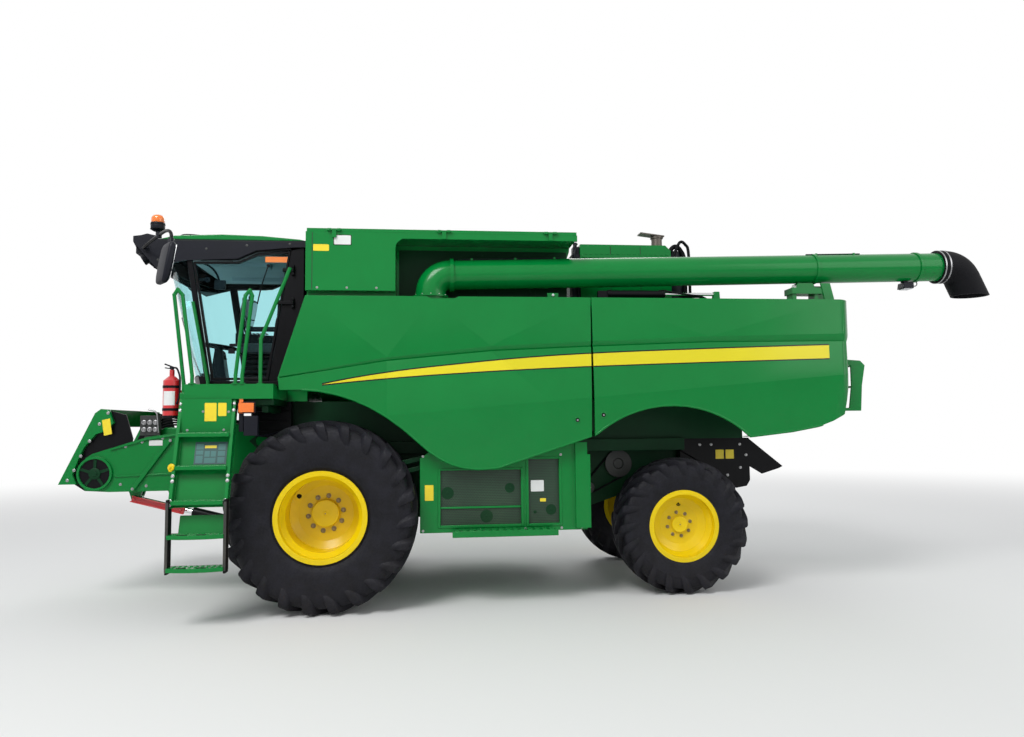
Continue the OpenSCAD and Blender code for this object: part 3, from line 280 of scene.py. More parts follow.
def grime_group():
    """Dust that lies on upward faces and gathers low down, broken up by noise at two sizes."""
    t, k, i, o = new_group("Grime", [("Amount", "Float", 0.5), ("Height", "Float", 1.2)],
            [("Mask", "Float"), ("Patch", "Float")])
    at = k.new("TexCoord").outputs["Object"]
    xyz = k.new("SeparateXYZ")
    k.join(at, xyz.inputs[0])
    up = k.new("SeparateXYZ")
    k.join(k.new("NewGeometry").outputs["Normal"], up.inputs[0])
    low = k.ramp(xyz.outputs[2], i["Height"], 0.0)
    top = k.ramp(up.outputs[2], 0.45, 1.0, 0.0, 0.7)
    coarse = k.ramp(k.noise(at, 2.3, 6.0, 0.65), 0.35, 0.68)
    fine = k.ramp(k.noise(at, 42.0, 4.0, 0.7), 0.25, 0.75, 0.35, 1.0)
    both = k.math("ADD", k.math("MULTIPLY", low, 0.8), top, clamp=True)
    mask = k.math("MULTIPLY", k.math("MULTIPLY", both, k.math("ADD", k.math("MULTIPLY", coarse, 0.7), 0.3)), fine)
    k.join(k.math("MULTIPLY", mask, i["Amount"], clamp=True), o["Mask"])
    k.join(coarse, o["Patch"])
    return t


def relief_group():
    """Fine relief: orange peel of paint, grain of moulded plastic or rubber."""
    t, k, i, o = new_group("Relief", [("Scale", "Float", 200.0), ("Strength", "Float", 0.1), ("Depth", "Float", 0.001)],
            [("Normal", "Vector")])
    at = k.new("TexCoord").outputs["Object"]
    n = k.new("TexNoise")
    k.join(at, n.inputs["Vector"])
    k.join(i["Scale"], n.inputs["Scale"])
    n.inputs["Detail"].default_value = 2.0
    b = k.new("Bump")
    k.join(i["Strength"], b.inputs["Strength"])
    k.join(i["Depth"], b.inputs["Distance"])
    k.join(n.outputs["Fac"], b.inputs["Height"])
    k.join(b.outputs["Normal"], o["Normal"])
    return t


def perforation_group():
    """Rows of round holes, every other row shifted by half a hole."""
    t, k, i, o = new_group("Perforation", [("Pitch", "Float", 0.02), ("Hole", "Float", 0.3)], [("Mask", "Float")])
    xyz = k.new("SeparateXYZ")
    k.join(k.new("TexCoord").outputs["Object"], xyz.inputs[0])
    x, z = k.math("DIVIDE", xyz.outputs[0], i["Pitch"]), k.math("DIVIDE", xyz.outputs[2], i["Pitch"])
    row = k.math("MULTIPLY", k.math("MODULO", k.math("FLOOR", z), 2.0), 0.5)
    du = k.math("SUBTRACT", k.math("FRACT", k.math("ADD", k.math("ADD", x, 1000.0), row)), 0.5)
    dv = k.math("SUBTRACT", k.math("FRACT", k.math("ADD", z, 1000.0)), 0.5)
    far = k.math("SQRT", k.math("ADD", k.math("MULTIPLY", du, du), k.math("MULTIPLY", dv, dv)))
    k.join(k.ramp(far, k.math("ADD", i["Hole"], 0.06), i["Hole"]), o["Mask"])
    return t


GRIME, RELIEF, PERFORATION = grime_group(), relief_group(), perforation_group()
DUST = (0.33, 0.27, 0.18, 1)


def material(name):
    m = bpy.data.materials.new(name)
    m.use_nodes = True
    k = Nodes(m.node_tree)
    return m, k, m.node_tree.nodes["Principled BSDF"]


def coated(name, colour, rough, metal, coat, dust, height, grain, relief, tint, spec):
    """A painted, moulded or bare surface: colour that varies a little, dust over it, fine relief."""
    m, k, b = material(name)
    g = k.use(GRIME, Amount=dust, Height=height)
    base = (*colour, 1)
    deep = (*(c * (1 - tint * 2) for c in colour), 1)
    body = k.mix(g.outputs["Patch"], deep, base)
    k.join(k.mix(g.outputs["Mask"], body, DUST), b.inputs["Base Color"])
    k.join(k.ramp(g.outputs["Mask"], 0.0, 0.7, rough, min(rough + 0.45, 0.95)), b.inputs["Roughness"])
    b.inputs["Metallic"].default_value = metal
    b.inputs["Coat Weight"].default_value = coat
    b.inputs["Coat Roughness"].default_value = 0.2
    b.inputs["Specular IOR Level"].default_value = spec
    r = k.use(RELIEF, Scale=grain, Strength=relief)
    k.join(r.outputs["Normal"], b.inputs["Normal"])
    return m


def curve_at(k, x, lo, hi, points, z_lo, z_hi):
    """A curve z(x) through points, as nodes: x in metres, both scaled to 0..1 for the curve."""
    c = k.new("FloatCurve")
    k.join(k.ramp(x, lo, hi, smooth=False), c.inputs["Value"])
    line = c.mapping.curves[0]
    pts = [((px - lo) / (hi - lo), (pz - z_lo) / (z_hi - z_lo)) for px, pz in points]
    line.points[0].location, line.points[-1].location = pts[0], pts[-1]
    for p in pts[1:-1]:
        line.points.new(*p)
    c.mapping.update()
    return k.math("ADD", k.math("MULTIPLY", c.outputs[0], z_hi - z_lo), z_lo)


def stripe_group():
    """The side shields' stripe: yellow between two curves in X and Z, with a black line along it."""
    t, k, i, o = new_group("Stripe", [("Edge", "Float", 0.012)], [("Yellow", "Float"), ("Black", "Float")])
    xyz = k.new("SeparateXYZ")
    k.join(k.new("TexCoord").outputs["Object"], xyz.inputs[0])
    x, z = xyz.outputs[0], xyz.outputs[2]
    a = AXLE_X / 1000
    # X of each place from the front axle, Z of the stripe's lower and upper edge there
    places = ((-0.1, 2.128, 2.118), (0.6, 2.196, 2.246), (1.3, 2.246, 2.328), (2.0, 2.284, 2.392),
              (2.556, 2.308, 2.427), (3.6, 2.343, 2.470), (5.2, 2.388, 2.521))
    x0, x1 = places[0][0] + a, places[-1][0] + a
    low, high = (curve_at(k, x, x0, x1, [(p[0] + a, p[edge]) for p in places], 2.0, 2.7) for edge in (1, 2))
    step = lambda v, e=0.0012: k.ramp(v, -e, e)
    inside = k.math("MULTIPLY", step(k.math("SUBTRACT", z, low)), step(k.math("SUBTRACT", high, z)))
    below, above = k.math("SUBTRACT", low, i["Edge"]), k.math("ADD", high, i["Edge"])
    wide = k.math("MULTIPLY", step(k.math("SUBTRACT", z, below)), step(k.math("SUBTRACT", above, z)))
    far = k.math("MULTIPLY", step(k.math("SUBTRACT", 5.062 + a, x), 0.002),
            step(k.math("SUBTRACT", x, a - 0.005), 0.002))
    k.join(k.math("MULTIPLY", inside, far), o["Yellow"])
    k.join(k.math("MULTIPLY", wide, far), o["Black"])
    return t


GREEN, DEEP, YELLOW = (0.0005, 0.205, 0.036), (0.001, 0.040, 0.012), (0.86, 0.62, 0.002)
# Painted, moulded and bare finishes: name, colour, roughness, metal, coat, dust, height below which dust gathers,
# scale and strength of the grain, how much the colour varies, specular level
FINISHES = (
    ("green_paint", GREEN, 0.22, 0, 0.25, 0.03, 1.5, 190, 0.02, 0.03, 0.15),
    ("dark_green_paint", DEEP, 0.5, 0, 0.05, 0.15, 1.4, 160, 0.08, 0.08, 0.15),
    ("yellow_paint", YELLOW, 0.3, 0, 0.2, 0.05, 0.8, 200, 0.04, 0.04, 0.2),
    ("black_paint", (0.003, 0.003, 0.0045), 0.32, 0, 0, 0.02, 1.1, 240, 0.06, 0.1, 0.15),
    ("black_plastic", (0.006, 0.007, 0.013), 0.45, 0, 0, 0.03, 1.1, 900, 0.25, 0.1, 0.2),
    ("black_rubber", (0.005, 0.005, 0.007), 0.66, 0, 0, 0.08, 1.1, 500, 0.2, 0.15, 0.15),
    ("engine_grey", (0.11, 0.11, 0.11), 0.6, 0.3, 0, 0.5, 3.2, 90, 0.3, 0.12, 0.5),
    ("exhaust_steel", (0.13, 0.115, 0.1), 0.45, 0.9, 0, 0.25, 1, 120, 0.15, 0.12, 0.5),
    ("amber_lens", (0.95, 0.2, 0.008), 0.12, 0, 0.8, 0, 1.1, 60, 0.02, 0.05, 0.5),
    ("red_paint", (0.62, 0.012, 0.018), 0.28, 0, 0.6, 0.12, 1.4, 180, 0.04, 0.08, 0.5),
    ("chrome_rod", (0.82, 0.82, 0.84), 0.1, 1, 0, 0.1, 1.2, 300, 0.02, 0.02, 0.5),
    ("bare_steel", (0.42, 0.42, 0.43), 0.36, 1, 0, 0.3, 1, 220, 0.08, 0.1, 0.5),
    ("white_sticker", (0.78, 0.79, 0.78), 0.35, 0, 0, 0.12, 1.1, 80, 0.02, 0.04, 0.5),
    ("yellow_sticker", (0.93, 0.72, 0.03), 0.35, 0, 0, 0.1, 1.1, 80, 0.02, 0.04, 0.5),
    ("seam_shadow", (0.004, 0.012, 0.007), 0.7, 0, 0, 0, 1.1, 200, 0.02, 0.02, 0.5),
    ("dark_steel", (0.06, 0.063, 0.062), 0.45, 0.7, 0, 0.35, 1.6, 140, 0.1, 0.1, 0.5),
    ("wheel_nut", (0.3, 0.24, 0.15), 0.42, 0.85, 0, 0.2, 1.2, 200, 0.1, 0.1, 0.5),
    ("clear_lens", (0.74, 0.78, 0.8), 0.1, 0, 0.9, 0, 1.1, 700, 0.3, 0.03, 0.5),
    ("red_lens", (0.55, 0.008, 0.01), 0.14, 0, 0.8, 0, 1.1, 500, 0.2, 0.05, 0.5),
    ("grey_sticker", (0.012, 0.075, 0.07), 0.4, 0, 0, 0.1, 1.1, 80, 0.02, 0.04, 0.5),
    ("pale_green", (0.035, 0.16, 0.15), 0.4, 0, 0, 0.1, 1.1, 80, 0.02, 0.04, 0.5),
    ("mirror_silver", (0.85, 0.87, 0.88), 0.03, 1, 0, 0, 1.1, 60, 0.005, 0.01, 0.5),
    ("lining", (0.5, 0.55, 0.6), 0.9, 0, 0, 0.05, 1.1, 600, 0.4, 0.05, 0.5),
    ("orange_sticker", (0.95, 0.25, 0.04), 0.3, 0, 0.5, 0.02, 1.1, 350, 0.1, 0.04, 0.5),
)
MAT = {row[0]: coated(*row) for row in FINISHES}


def tyre_material():
    m, k, b = material("tyre_rubber")
    g = k.use(GRIME, Amount=0.75, Height=0.9)
    at = k.new("TexCoord").outputs["Object"]
    base = k.mix(k.ramp(k.noise(at, 9.0, 5.0), 0.3, 0.7), (0.0035, 0.0035, 0.006, 1), (0.008, 0.008, 0.013, 1))
    k.join(k.mix(k.math("MULTIPLY", g.outputs["Mask"], 0.12), base, (0.10, 0.08, 0.06, 1)), b.inputs["Base Color"])
    k.join(k.ramp(k.noise(at, 60.0, 3.0), 0.3, 0.7, 0.52, 0.72), b.inputs["Roughness"])
    b.inputs["Specular IOR Level"].default_value = 0.25
    r = k.use(RELIEF, Scale=420.0, Strength=0.22)
    k.join(r.outputs["Normal"], b.inputs["Normal"])
    return m


def glass_material(name, clear):
    """Thin tinted glass: what is behind shows through it, with a reflection that grows with the angle."""
    m, k, b = material(name)
    k.tree.nodes.remove(b)
    out = k.tree.nodes["Material Output"]
    through, shine = k.new("BsdfTransparent"), k.new("BsdfGlossy")
    through.inputs["Color"].default_value = (*clear, 1)
    shine.inputs["Roughness"].default_value = 0.03
    facing = k.new("LayerWeight")
    facing.inputs["Blend"].default_value = 0.5
    f = k.math("ADD", k.math("MULTIPLY", k.math("POWER", facing.outputs["Facing"], 5.0), 0.4), 0.003)
    mixer = k.new("MixShader")
    k.join(f, mixer.inputs[0])
    k.join(through.outputs[0], mixer.inputs[1])
    k.join(shine.outputs[0], mixer.inputs[2])
    k.join(mixer.outputs[0], out.inputs["Surface"])
    return m


def fabric_material():
    m, k, b = material("seat_fabric")
    at = k.new("TexCoord").outputs["Object"]
    w = k.new("TexWave", wave_type="BANDS", bands_direction="DIAGONAL")
    k.join(at, w.inputs["Vector"])
    w.inputs["Scale"].default_value = 260.0
    w.inputs["Distortion"].default_value = 1.5
    k.join(k.mix(w.outputs["Fac"], (0.030, 0.032, 0.036, 1), (0.075, 0.078, 0.085, 1)), b.inputs["Base Color"])
    b.inputs["Roughness"].default_value = 0.85
    b.inputs["Sheen Weight"].default_value = 0.3
    bump = k.new("Bump")
    bump.inputs["Strength"].default_value = 0.3
    bump.inputs["Distance"].default_value = 0.001
    k.join(w.outputs["Fac"], bump.inputs["Height"])
    k.join(bump.outputs["Normal"], b.inputs["Normal"])
    return m


def shield_material():
    """The green paint with the side stripe on it."""
    m = MAT["green_paint"].copy()
    m.name = "shield_paint"
    k = Nodes(m.node_tree)
    b = m.node_tree.nodes["Principled BSDF"]
    paint = b.inputs["Base Color"].links[0].from_socket
    s = k.use(STRIPE, Edge=0.013)
    dark = k.mix(s.outputs["Black"], paint, (0.012, 0.012, 0.012, 1))
    k.join(k.mix(s.outputs["Yellow"], dark, (0.76, 0.66, 0.020, 1)), b.inputs["Base Color"])
    return m


def perforated_material(name, colour, pitch, hole):
    """Painted sheet with holes that show the dark behind it."""
    m = coated(name, colour, 0.5, 0, 0, 0.25, 1.5, 260, 0.06, 0.12, 0.5)
    k = Nodes(m.node_tree)
    b = m.node_tree.nodes["Principled BSDF"]
    paint = b.inputs["Base Color"].links[0].from_socket
    holes = k.use(PERFORATION, Pitch=pitch, Hole=hole).outputs["Mask"]
    k.join(k.mix(holes, paint, (0.0025, 0.003, 0.003, 1)), b.inputs["Base Color"])
    return m


STRIPE = stripe_group()
MAT["tyre_rubber"] = tyre_material()
MAT["seat_fabric"] = fabric_material()
MAT["mesh_sheet"] = perforated_material("mesh_sheet", (0.010, 0.060, 0.024), 0.016, 0.30)
MAT["tread_plate"] = perforated_material("tread_plate", (0.012, 0.10, 0.035), 0.05, 0.22)
MAT["window_glass"] = glass_material("window_glass", (0.78, 0.93, 0.94))
SHIELD = shield_material()

# ---------------------------------------------------------------- the CAD pieces
slot_of = {s["node"]: s["material_slot"] for s in frame["record"]["subparts"]}
# Width of the rounded edges that a CAD piece gets, in millimetres
EDGE_WIDTHS = {
    4: "ladder lower_side_left lower_side_right",
    5: "chassis chopper feeder_house lamps platform rear_axle tank_cover_left tank_cover_right",
    6: "engine_deck feeder_front front_axle grain_tank rear_hood separator_body",
    7: "shield_front_left shield_front_right shield_rear_left shield_rear_right",
    8: "controls",
    14: "cab_roof cooling_screen",
    20: "engine_block",
    22: "cab_visor",
}
EDGE_WIDTH = {node: width for width, nodes in EDGE_WIDTHS.items() for node in nodes.split()}
for node, obj in frame["nodes"].items():
    mat = SHIELD if node.startswith("shield") else MAT[slot_of[node]]
    for s in obj.material_slots:
        s.material = mat
    if node in EDGE_WIDTH:
        weld = obj.modifiers.new("weld", "WELD")
        weld.merge_threshold = 0.00002
        bev = obj.modifiers.new("edge", "BEVEL")
        bev.width, bev.segments = EDGE_WIDTH[node] / 1000, 2
        bev.limit_method, bev.angle_limit = "ANGLE", math.radians(34)


# ---------------------------------------------------------------- floor, light and camera
def stage():
    m, k, b = material("floor")
    b.inputs["Base Color"].default_value = (0.80, 0.80, 0.79, 1)
    b.inputs["Roughness"].default_value = 0.75
    # Far from the machine the camera sees plain white, so that no horizon shows
    white, mixer, far = k.new("Emission"), k.new("MixShader"), k.new("VectorMath")
    far.operation = "LENGTH"
    k.join(k.new("NewGeometry").outputs["Position"], far.inputs[0])
    k.join(k.math("MULTIPLY", k.ramp(far.outputs["Value"], 7.0, 24.0), k.new("LightPath").outputs["Is Camera Ray"]),
            mixer.inputs[0])
    k.join(b.outputs[0], mixer.inputs[1])
    k.join(white.outputs[0], mixer.inputs[2])
    k.join(mixer.outputs[0], k.tree.nodes["Material Output"].inputs["Surface"])
    mesh = bpy.data.meshes.new("floor")
    s = 150
    mesh.from_pydata([(-s, -s, 0), (s, -s, 0), (s, s, 0), (-s, s, 0)], [], [(0, 1, 2, 3)])
    mesh.materials.append(m)
    floor = bpy.data.objects.new("floor", mesh)
    bpy.context.scene.collection.objects.link(floor)

    world = bpy.data.worlds.new("studio")
    bpy.context.scene.world = world
    world.use_nodes = True
    k = Nodes(world.node_tree)
    out = world.node_tree.nodes["World Output"]
    sky, white = world.node_tree.nodes["Background"], k.new("Background")
    # Brighter overhead than at the horizon
    up = k.new("SeparateXYZ")
    k.join(k.new("TexCoord").outputs["Generated"], up.inputs[0])
    k.join(k.mix(k.ramp(up.outputs[2], -0.1, 0.9), (0.55, 0.58, 0.62, 1), (0.95, 0.97, 1.0, 1)), sky.inputs["Color"])
    sky.inputs["Strength"].default_value = 0.55
    white.inputs["Color"].default_value = (1, 1, 1, 1)
    path = k.new("LightPath")
    seen = k.math("MAXIMUM", path.outputs["Is Camera Ray"],
            k.math("MAXIMUM", path.outputs["Is Transmission Ray"], path.outputs["Is Glossy Ray"]))
    mixer = k.new("MixShader")
    k.join(seen, mixer.inputs[0])
    k.join(sky.outputs[0], mixer.inputs[1])
    k.join(white.outputs[0], mixer.inputs[2])
    k.join(mixer.outputs[0], out.inputs["Surface"])

    for name, at, target, size, power in (("key", (-7, -10, 13), (0, 0, 1.5), 6, 1550),
                                          ("fill", (10, -9, 7), (1, 0, 1.5), 8, 330),
                                          ("back", (2, 13, 11), (0, 0, 2), 8, 600)):
        light = bpy.data.lights.new(name, "AREA")
        light.energy, light.size = power, size
        obj = bpy.data.objects.new(name, light)
        obj.location = at
        obj.rotation_euler = (Vector(target) - Vector(at)).to_track_quat("-Z", "Y").to_euler()
        bpy.context.scene.collection.objects.link(obj)

    scene = bpy.context.scene
    scene.view_settings.view_transform = "Standard"
    cam = bpy.data.cameras.new("camera")
    yaw, pitch, roll, focal = 0.1091, 0.074, -0.0104, 770.0
    cam.sensor_width, cam.lens = 36.0, focal / 1024 * 36
    fwd = Vector((math.sin(yaw) * math.cos(pitch), math.cos(yaw) * math.cos(pitch), math.sin(pitch)))
    right = Vector((math.cos(yaw), -math.sin(yaw), 0))
    up = right.cross(fwd)
    r, u = math.cos(roll) * right + math.sin(roll) * up, math.cos(roll) * up - math.sin(roll) * right
    obj = bpy.data.objects.new("camera", cam)
    obj.matrix_world = Matrix(((r.x, u.x, -fwd.x, 0.990572 + AXLE_X / 1000),
                               (r.y, u.y, -fwd.y, -8.925278 + MID_Y / 1000),
                               (r.z, u.z, -fwd.z, 1.731574),
                               (0, 0, 0, 1)))
    scene.collection.objects.link(obj)
    scene.camera = obj


stage()


# ---------------------------------------------------------------- wheels
def tyre(node, body, x, y, r, w, rim_r, lugs, lug_h):
    """Carcass turned from a smooth closed section, with bar lugs that lean to the middle and wrap down the shoulder."""
    base, half = r - lug_h, w / 2
    section = [(0.76, rim_r - 33), (0.80, rim_r - 30), (0.855, rim_r + 6), (0.868, rim_r + 20), (0.885, rim_r + 24),
               (0.905, rim_r + 42), (0.945, rim_r + 92), (0.962, (base + rim_r) / 2 + 10), (0.950, base - 120),
               (0.915, base - 66), (0.86, base - 32), (0.77, base - 12), (0.5, base - 3), (0.2, base)]
    prof = [(-a * half, b) for a, b in section] + [(a * half, b) for a, b in reversed(section)]
    s = Shape()
    s.lathe(smooth_profile(prof, 3), (0, 0, 0), (0, 1, 0), 120, closed=True)
    pitch = 2 * math.pi / lugs
    thick = 2 * math.pi * r / lugs * 0.27
    # Stations of a lug: top (out, radius), foot (out, radius), share of the sweep, width
    stations = [((-0.04, r), (-0.04, base - 14), -0.30, 0.85), ((0.14, r), (0.14, base - 14), -0.02, 0.90),
                ((0.34, r - 2), (0.34, base - 14), 0.28, 0.95), ((0.56, r - 5), (0.56, base - 18), 0.58, 1.05),
                ((0.76, r - 9), (0.74, base - 26), 0.82, 1.20), ((0.89, r - 17), (0.83, base - 44), 0.95, 1.34),
                ((0.965, r - 34), (0.87, base - 66), 1.02, 1.42), ((0.998, r - 66), (0.90, base - 90), 1.08, 1.36),
                ((0.999, r - 108), (0.925, base - 122), 1.16, 1.18),
                ((0.990, r - 150), (0.935, base - 146), 1.25, 0.95),
                ((0.970, r - 186), (0.940, base - 160), 1.33, 0.62)]
    reach = r * math.sin(pitch) * 0.95
    for side in (-1, 1):
        for i in range(lugs):
            start = (i + (0.5 if side > 0 else 0)) * pitch
            rings = []
            for (to, tr), (fo, fr), sweep, width in stations:
                row = []
                for off, share in ((-1.28, 0), (-1.0, 0.82), (-0.80, 1), (0.80, 1), (1.0, 0.82), (1.28, 0)):
                    out, rad = fo + (to - fo) * share, fr + (tr - fr) * share
                    ang = start + (sweep * reach + off * width * thick / 2) / r
                    row.append((rad * math.sin(ang), side * out * half, rad * math.cos(ang)))
                rings.append(row)
            s.skin(rings)
    s.verts = [(vx + x, vy + y, vz + r) for vx, vy, vz in s.verts]
    o = s.make(node + "_tread", "tyre_rubber", body, smooth=40)
    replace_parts(o, node)


def smooth_profile(points, steps):
    return [(p.x, p.y) for p in smoothed([Vector((a, b, 0)) for a, b in points], steps)]


def wheel_nuts(body, x, y, z, side, ring_r, count, r, turn):
    s = Shape()
    for i in range(count):
        a = turn + 2 * math.pi * i / count
        at = (x + ring_r * math.cos(a), y, z + ring_r * math.sin(a))
        s.lathe([(0, r * 1.45), (3, r * 1.45), (5, r * 1.25), (5, 0)], at, (0, side, 0), 14)
        s.lathe([(4, r), (4 + r * 0.8, r), (6 + r * 0.9, r * 0.8), (6 + r * 0.9, 0)], at, (0, side, 0), 6)
        s.rod((at[0], y, at[2]), (at[0], y + side * (r * 1.2 + 9), at[2]), r * 0.5, 8)
    s.make(body + "_nuts", "wheel_nut", body)


def hub_cap(body, x, y, z, side, r, h):
    """Yellow cover over the hub's end, with its rim and centre screw."""
    s = Shape().lathe([(-2, r + 6), (4, r + 6), (7, r + 1), (h - 8, r - 2), (h - 2, r - 5), (h, r - 12),
                      (h - 3, r - 22), (h - 3, 20), (h + 3, 16), (h + 3, 0)],
                      (x, y, z), (0, side, 0), 56)
    s.make(body + "_cap", "yellow_paint", body, smooth=30)
    Shape().bolt((x, y + side * (h + 2), z), (0, side, 0), 7, 5, False).make(body + "_cap_screw", "wheel_nut", body)


def valve(body, x, y, z, side, dx, dz):
    """Dark sleeve in the rim's valve hole, with the valve's stem."""
    s = Shape().lathe([(-30, 15), (2, 15), (4, 19), (2, 24), (-4, 25)], (x + dx, y, z + dz), (0, side, 0), 20)
    s.rod((x + dx, y - side * 30, z + dz), (x + dx, y + side * 14, z + dz), 5, 10)
    s.make(body + "_valve", "black_rubber", body)


REAR_X = 3590


def wheels():
    for side, hand in SIDES:
        front, rear = "wheel_front_" + hand, "wheel_rear_" + hand
        tyre("tyre_front_" + hand, front, 0, side * 1232.5, 900, 775, 430, 23, 48)
        tyre("tyre_rear_" + hand, rear, REAR_X, side * 1020, 690, 430, 365, 20, 48)
        wheel_nuts(front, 0, side * 1178, 900, side, 170, 10, 17, 0.16)
        hub_cap(front, 0, side * 1178, 900, side, 134, 52)
        valve(front, 0, side * 1196, 900, side, -255, 170)
        wheel_nuts(rear, REAR_X, side * 1023, 690, side, 124, 8, 13, 0.2)
        hub_cap(rear, REAR_X, side * 1023, 690, side, 86, 42)
        valve(rear, REAR_X, side * 1024, 690, side, 0, 210)


# ---------------------------------------------------------------- side shields and tank
# Below its crease a shield leans in; above, a fold runs along it
CREASE_X, CREASE_Z, CREASE_RISE, LEAN_IN = 915, 1862, math.radians(4.7), math.tan(math.radians(5))
FOLD = [(-420, 2204), (200, 2308), (600, 2375), (800, 2392), (1600, 2480), (2597, 2527), (3800, 2575), (5400, 2601)]


def crease_z(x):
    return CREASE_Z + (x - CREASE_X) * math.tan(CREASE_RISE)


def fold_z(x):
    for (x0, z0), (x1, z1) in zip(FOLD, FOLD[1:]):
        if x <= x1:
            return z0 + (z1 - z0) * (x - x0) / (x1 - x0)
    return FOLD[-1][1]


def shields():
    """Each shield pressed from its solid's faces: bent along the crease, with a fold that slopes in to a sharp step."""
    for side, hand in SIDES:
        for end in ("front", "rear"):
            node = "shield_%s_%s" % (end, hand)
            solid = bpy.data.objects[node]
            bm = bmesh.new()
            bm.from_mesh(solid.data)
            for v in bm.verts:
                x, y, z = v.co.x * 1000 - AXLE_X, abs(v.co.y * 1000 - MID_Y), v.co.z * 1000
                if abs(y - 1484) < 1.5 and abs(z - fold_z(x)) < 80:
                    v.co.y += side * (0.016 if z > fold_z(x) else -0.008)
            bmesh.ops.remove_doubles(bm, verts=bm.verts[:], dist=0.0002)
            place = world_point((CREASE_X, 0, CREASE_Z))
            normal = Vector((-math.sin(CREASE_RISE), 0, math.cos(CREASE_RISE)))
            bmesh.ops.bisect_plane(bm, geom=bm.verts[:] + bm.edges[:] + bm.faces[:], dist=0.00001,
                                   plane_co=place, plane_no=normal)
            for v in bm.verts:
                d = (v.co - place).dot(normal)
                if d < 0:
                    v.co.y += side * d * LEAN_IN
            mesh = bpy.data.meshes.new(node + "_panel")
            bm.to_mesh(mesh)
            bm.free()
            obj = bpy.data.objects.new(node + "_panel", mesh)
            bpy.context.scene.collection.objects.link(obj)
            for m in solid.data.materials:
                mesh.materials.append(m)
            edge = obj.modifiers.new("edge", "BEVEL")
            edge.width, edge.segments, edge.limit_method, edge.angle_limit = 0.006, 2, "ANGLE", math.radians(20)
            mesh.polygons.foreach_set("use_smooth", [True] * len(mesh.polygons))
            mesh.set_sharp_from_angle(angle=math.radians(18))
            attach(obj, node)
            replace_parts(obj, node)


def shield_y(x, z):
    """How far out a side shield's face is."""
    return SHIELD_Y - max(0, crease_z(x) - z) * math.cos(CREASE_RISE) * LEAN_IN


def shield_latches():
    for side, hand in SIDES:
        for end, x, z in (("front", 2447, 1779), ("rear", 2707, 1826)):
            body = "shield_%s_%s" % (end, hand)
            at, out = (x, side * (shield_y(x, z) - 1), z), (0, side, -0.09)
            Shape().lathe([(0, 34), (3, 34), (5, 31), (5, 25), (2, 21), (2, 0)], at, out, 32).make(
                    body + "_latch", "green_paint", body)
            # Black disc in the latch's pocket: painted shade of the hollow
            Shape().lathe([(2, 20), (3.5, 20), (3.5, 0)], at, out, 24).make(body + "_latch_pocket_shade", "black_paint", body)
            Shape().lathe([(3, 10), (9, 9), (10, 6), (10, 0)], at, out, 16).make(
                    body + "_latch_bolt", "bare_steel", body)


def shield_lips():
    """Rolled edge along the foot of each shield, found from its solid's outline."""
    for side, hand in SIDES:
        for end, x0, x1 in (("front", -196, 2586), ("rear", 2608, 4990)):
            body = "shield_%s_%s" % (end, hand)
            solid, pts = bpy.data.objects[body], []
            for i in range(91):
                x = x0 + (x1 - x0) * i / 90
                struck = lambda z: solid.ray_cast(world_point((x, side * 1900, z)), Vector((0, -side, 0)))[0]
                z = next((z for z in range(1280, 2200, 20) if struck(z)), None)
                if z is None:
                    continue
                low, high = z - 20, z
                while high - low > 1:
                    low, high = ((low + high) / 2, high) if not struck((low + high) / 2) else (low, (low + high) / 2)
                pts.append((x, side * (shield_y(x, high) - 10), high + 4))
            Shape().tube(pts, 13, 10).make(body + "_lip", "green_paint", body, smooth=60)


def tank_details():
    # Plates: X and Z of two corners, finish, outer face
    for n, (x0, z0, x1, z1, finish, face) in enumerate((
            (92, 3478, 262, 3580, "black_paint", 1502), (98, 3484, 256, 3574, "white_sticker", 1504),
            (-98, 3420, 50, 3484, "yellow_sticker", 1502))):
        Shape().prism(rounded(x0, z0, x1, z1, 8), "xz", -face, -TANK_Y).make("tank_plate_%d" % n, finish, bevel=0.6)
    for side, hand in SIDES:
        s = Shape()
        for x in (-108,) if side == LEFT else (-108, 520, 1300, 2060):
            s.on_side([(x - 3, 3046), (x + 3, 3046), (x + 3, 3602), (x - 3, 3602)], side, TANK_Y, TANK_Y + 1.8)
        s.make("tank_seam_" + hand, "seam_shadow")
        places = [(x, side * TANK_Y, 3066) for x in range(-60, 2400, 280) if side == RIGHT or x < 560]
        Shape().bolts(places, (0, side, 0), 8, 6).make("tank_bolts_" + hand, "bare_steel")
        places = [(x, side * 1440, 3642) for x in range(20, 2400, 300)]
        Shape().bolts(places, UP, 8, 7).make("cover_bolts_" + hand, "bare_steel", "tank_cover_" + hand)
    # Lining of the recess behind the tube, with two pressed ribs; its dark green is painted shade inside the recess
    s = Shape().box((700, -1044, 2960), (2440, -1053, 3540))
    for x in (1500, 2050):
        s.box((x, -1050, 2990), (x + 60, -1062, 3500))
    s.make("recess_shade_lining", "dark_green_paint", bevel=3)
    # Rubber seal where the two covers meet
    s = Shape().prism([(-14, 3643), (14, 3643), (9, 3655), (-9, 3655)], "yz", -150, 2450)
    s.make("cover_seal", "black_rubber", "tank_cover_right")


# Unloading auger: the elbow's place, and where the tube starts and how it rises
TUBE_Y, ELBOW_X, TUBE_X, TUBE_Z, TUBE_RISE = -1250, 1020, 1230, 3245, math.tan(math.radians(1.6))


def tube_z(x):
    """Height of the unloading tube's middle line."""
    return TUBE_Z + (x - TUBE_X) * TUBE_RISE


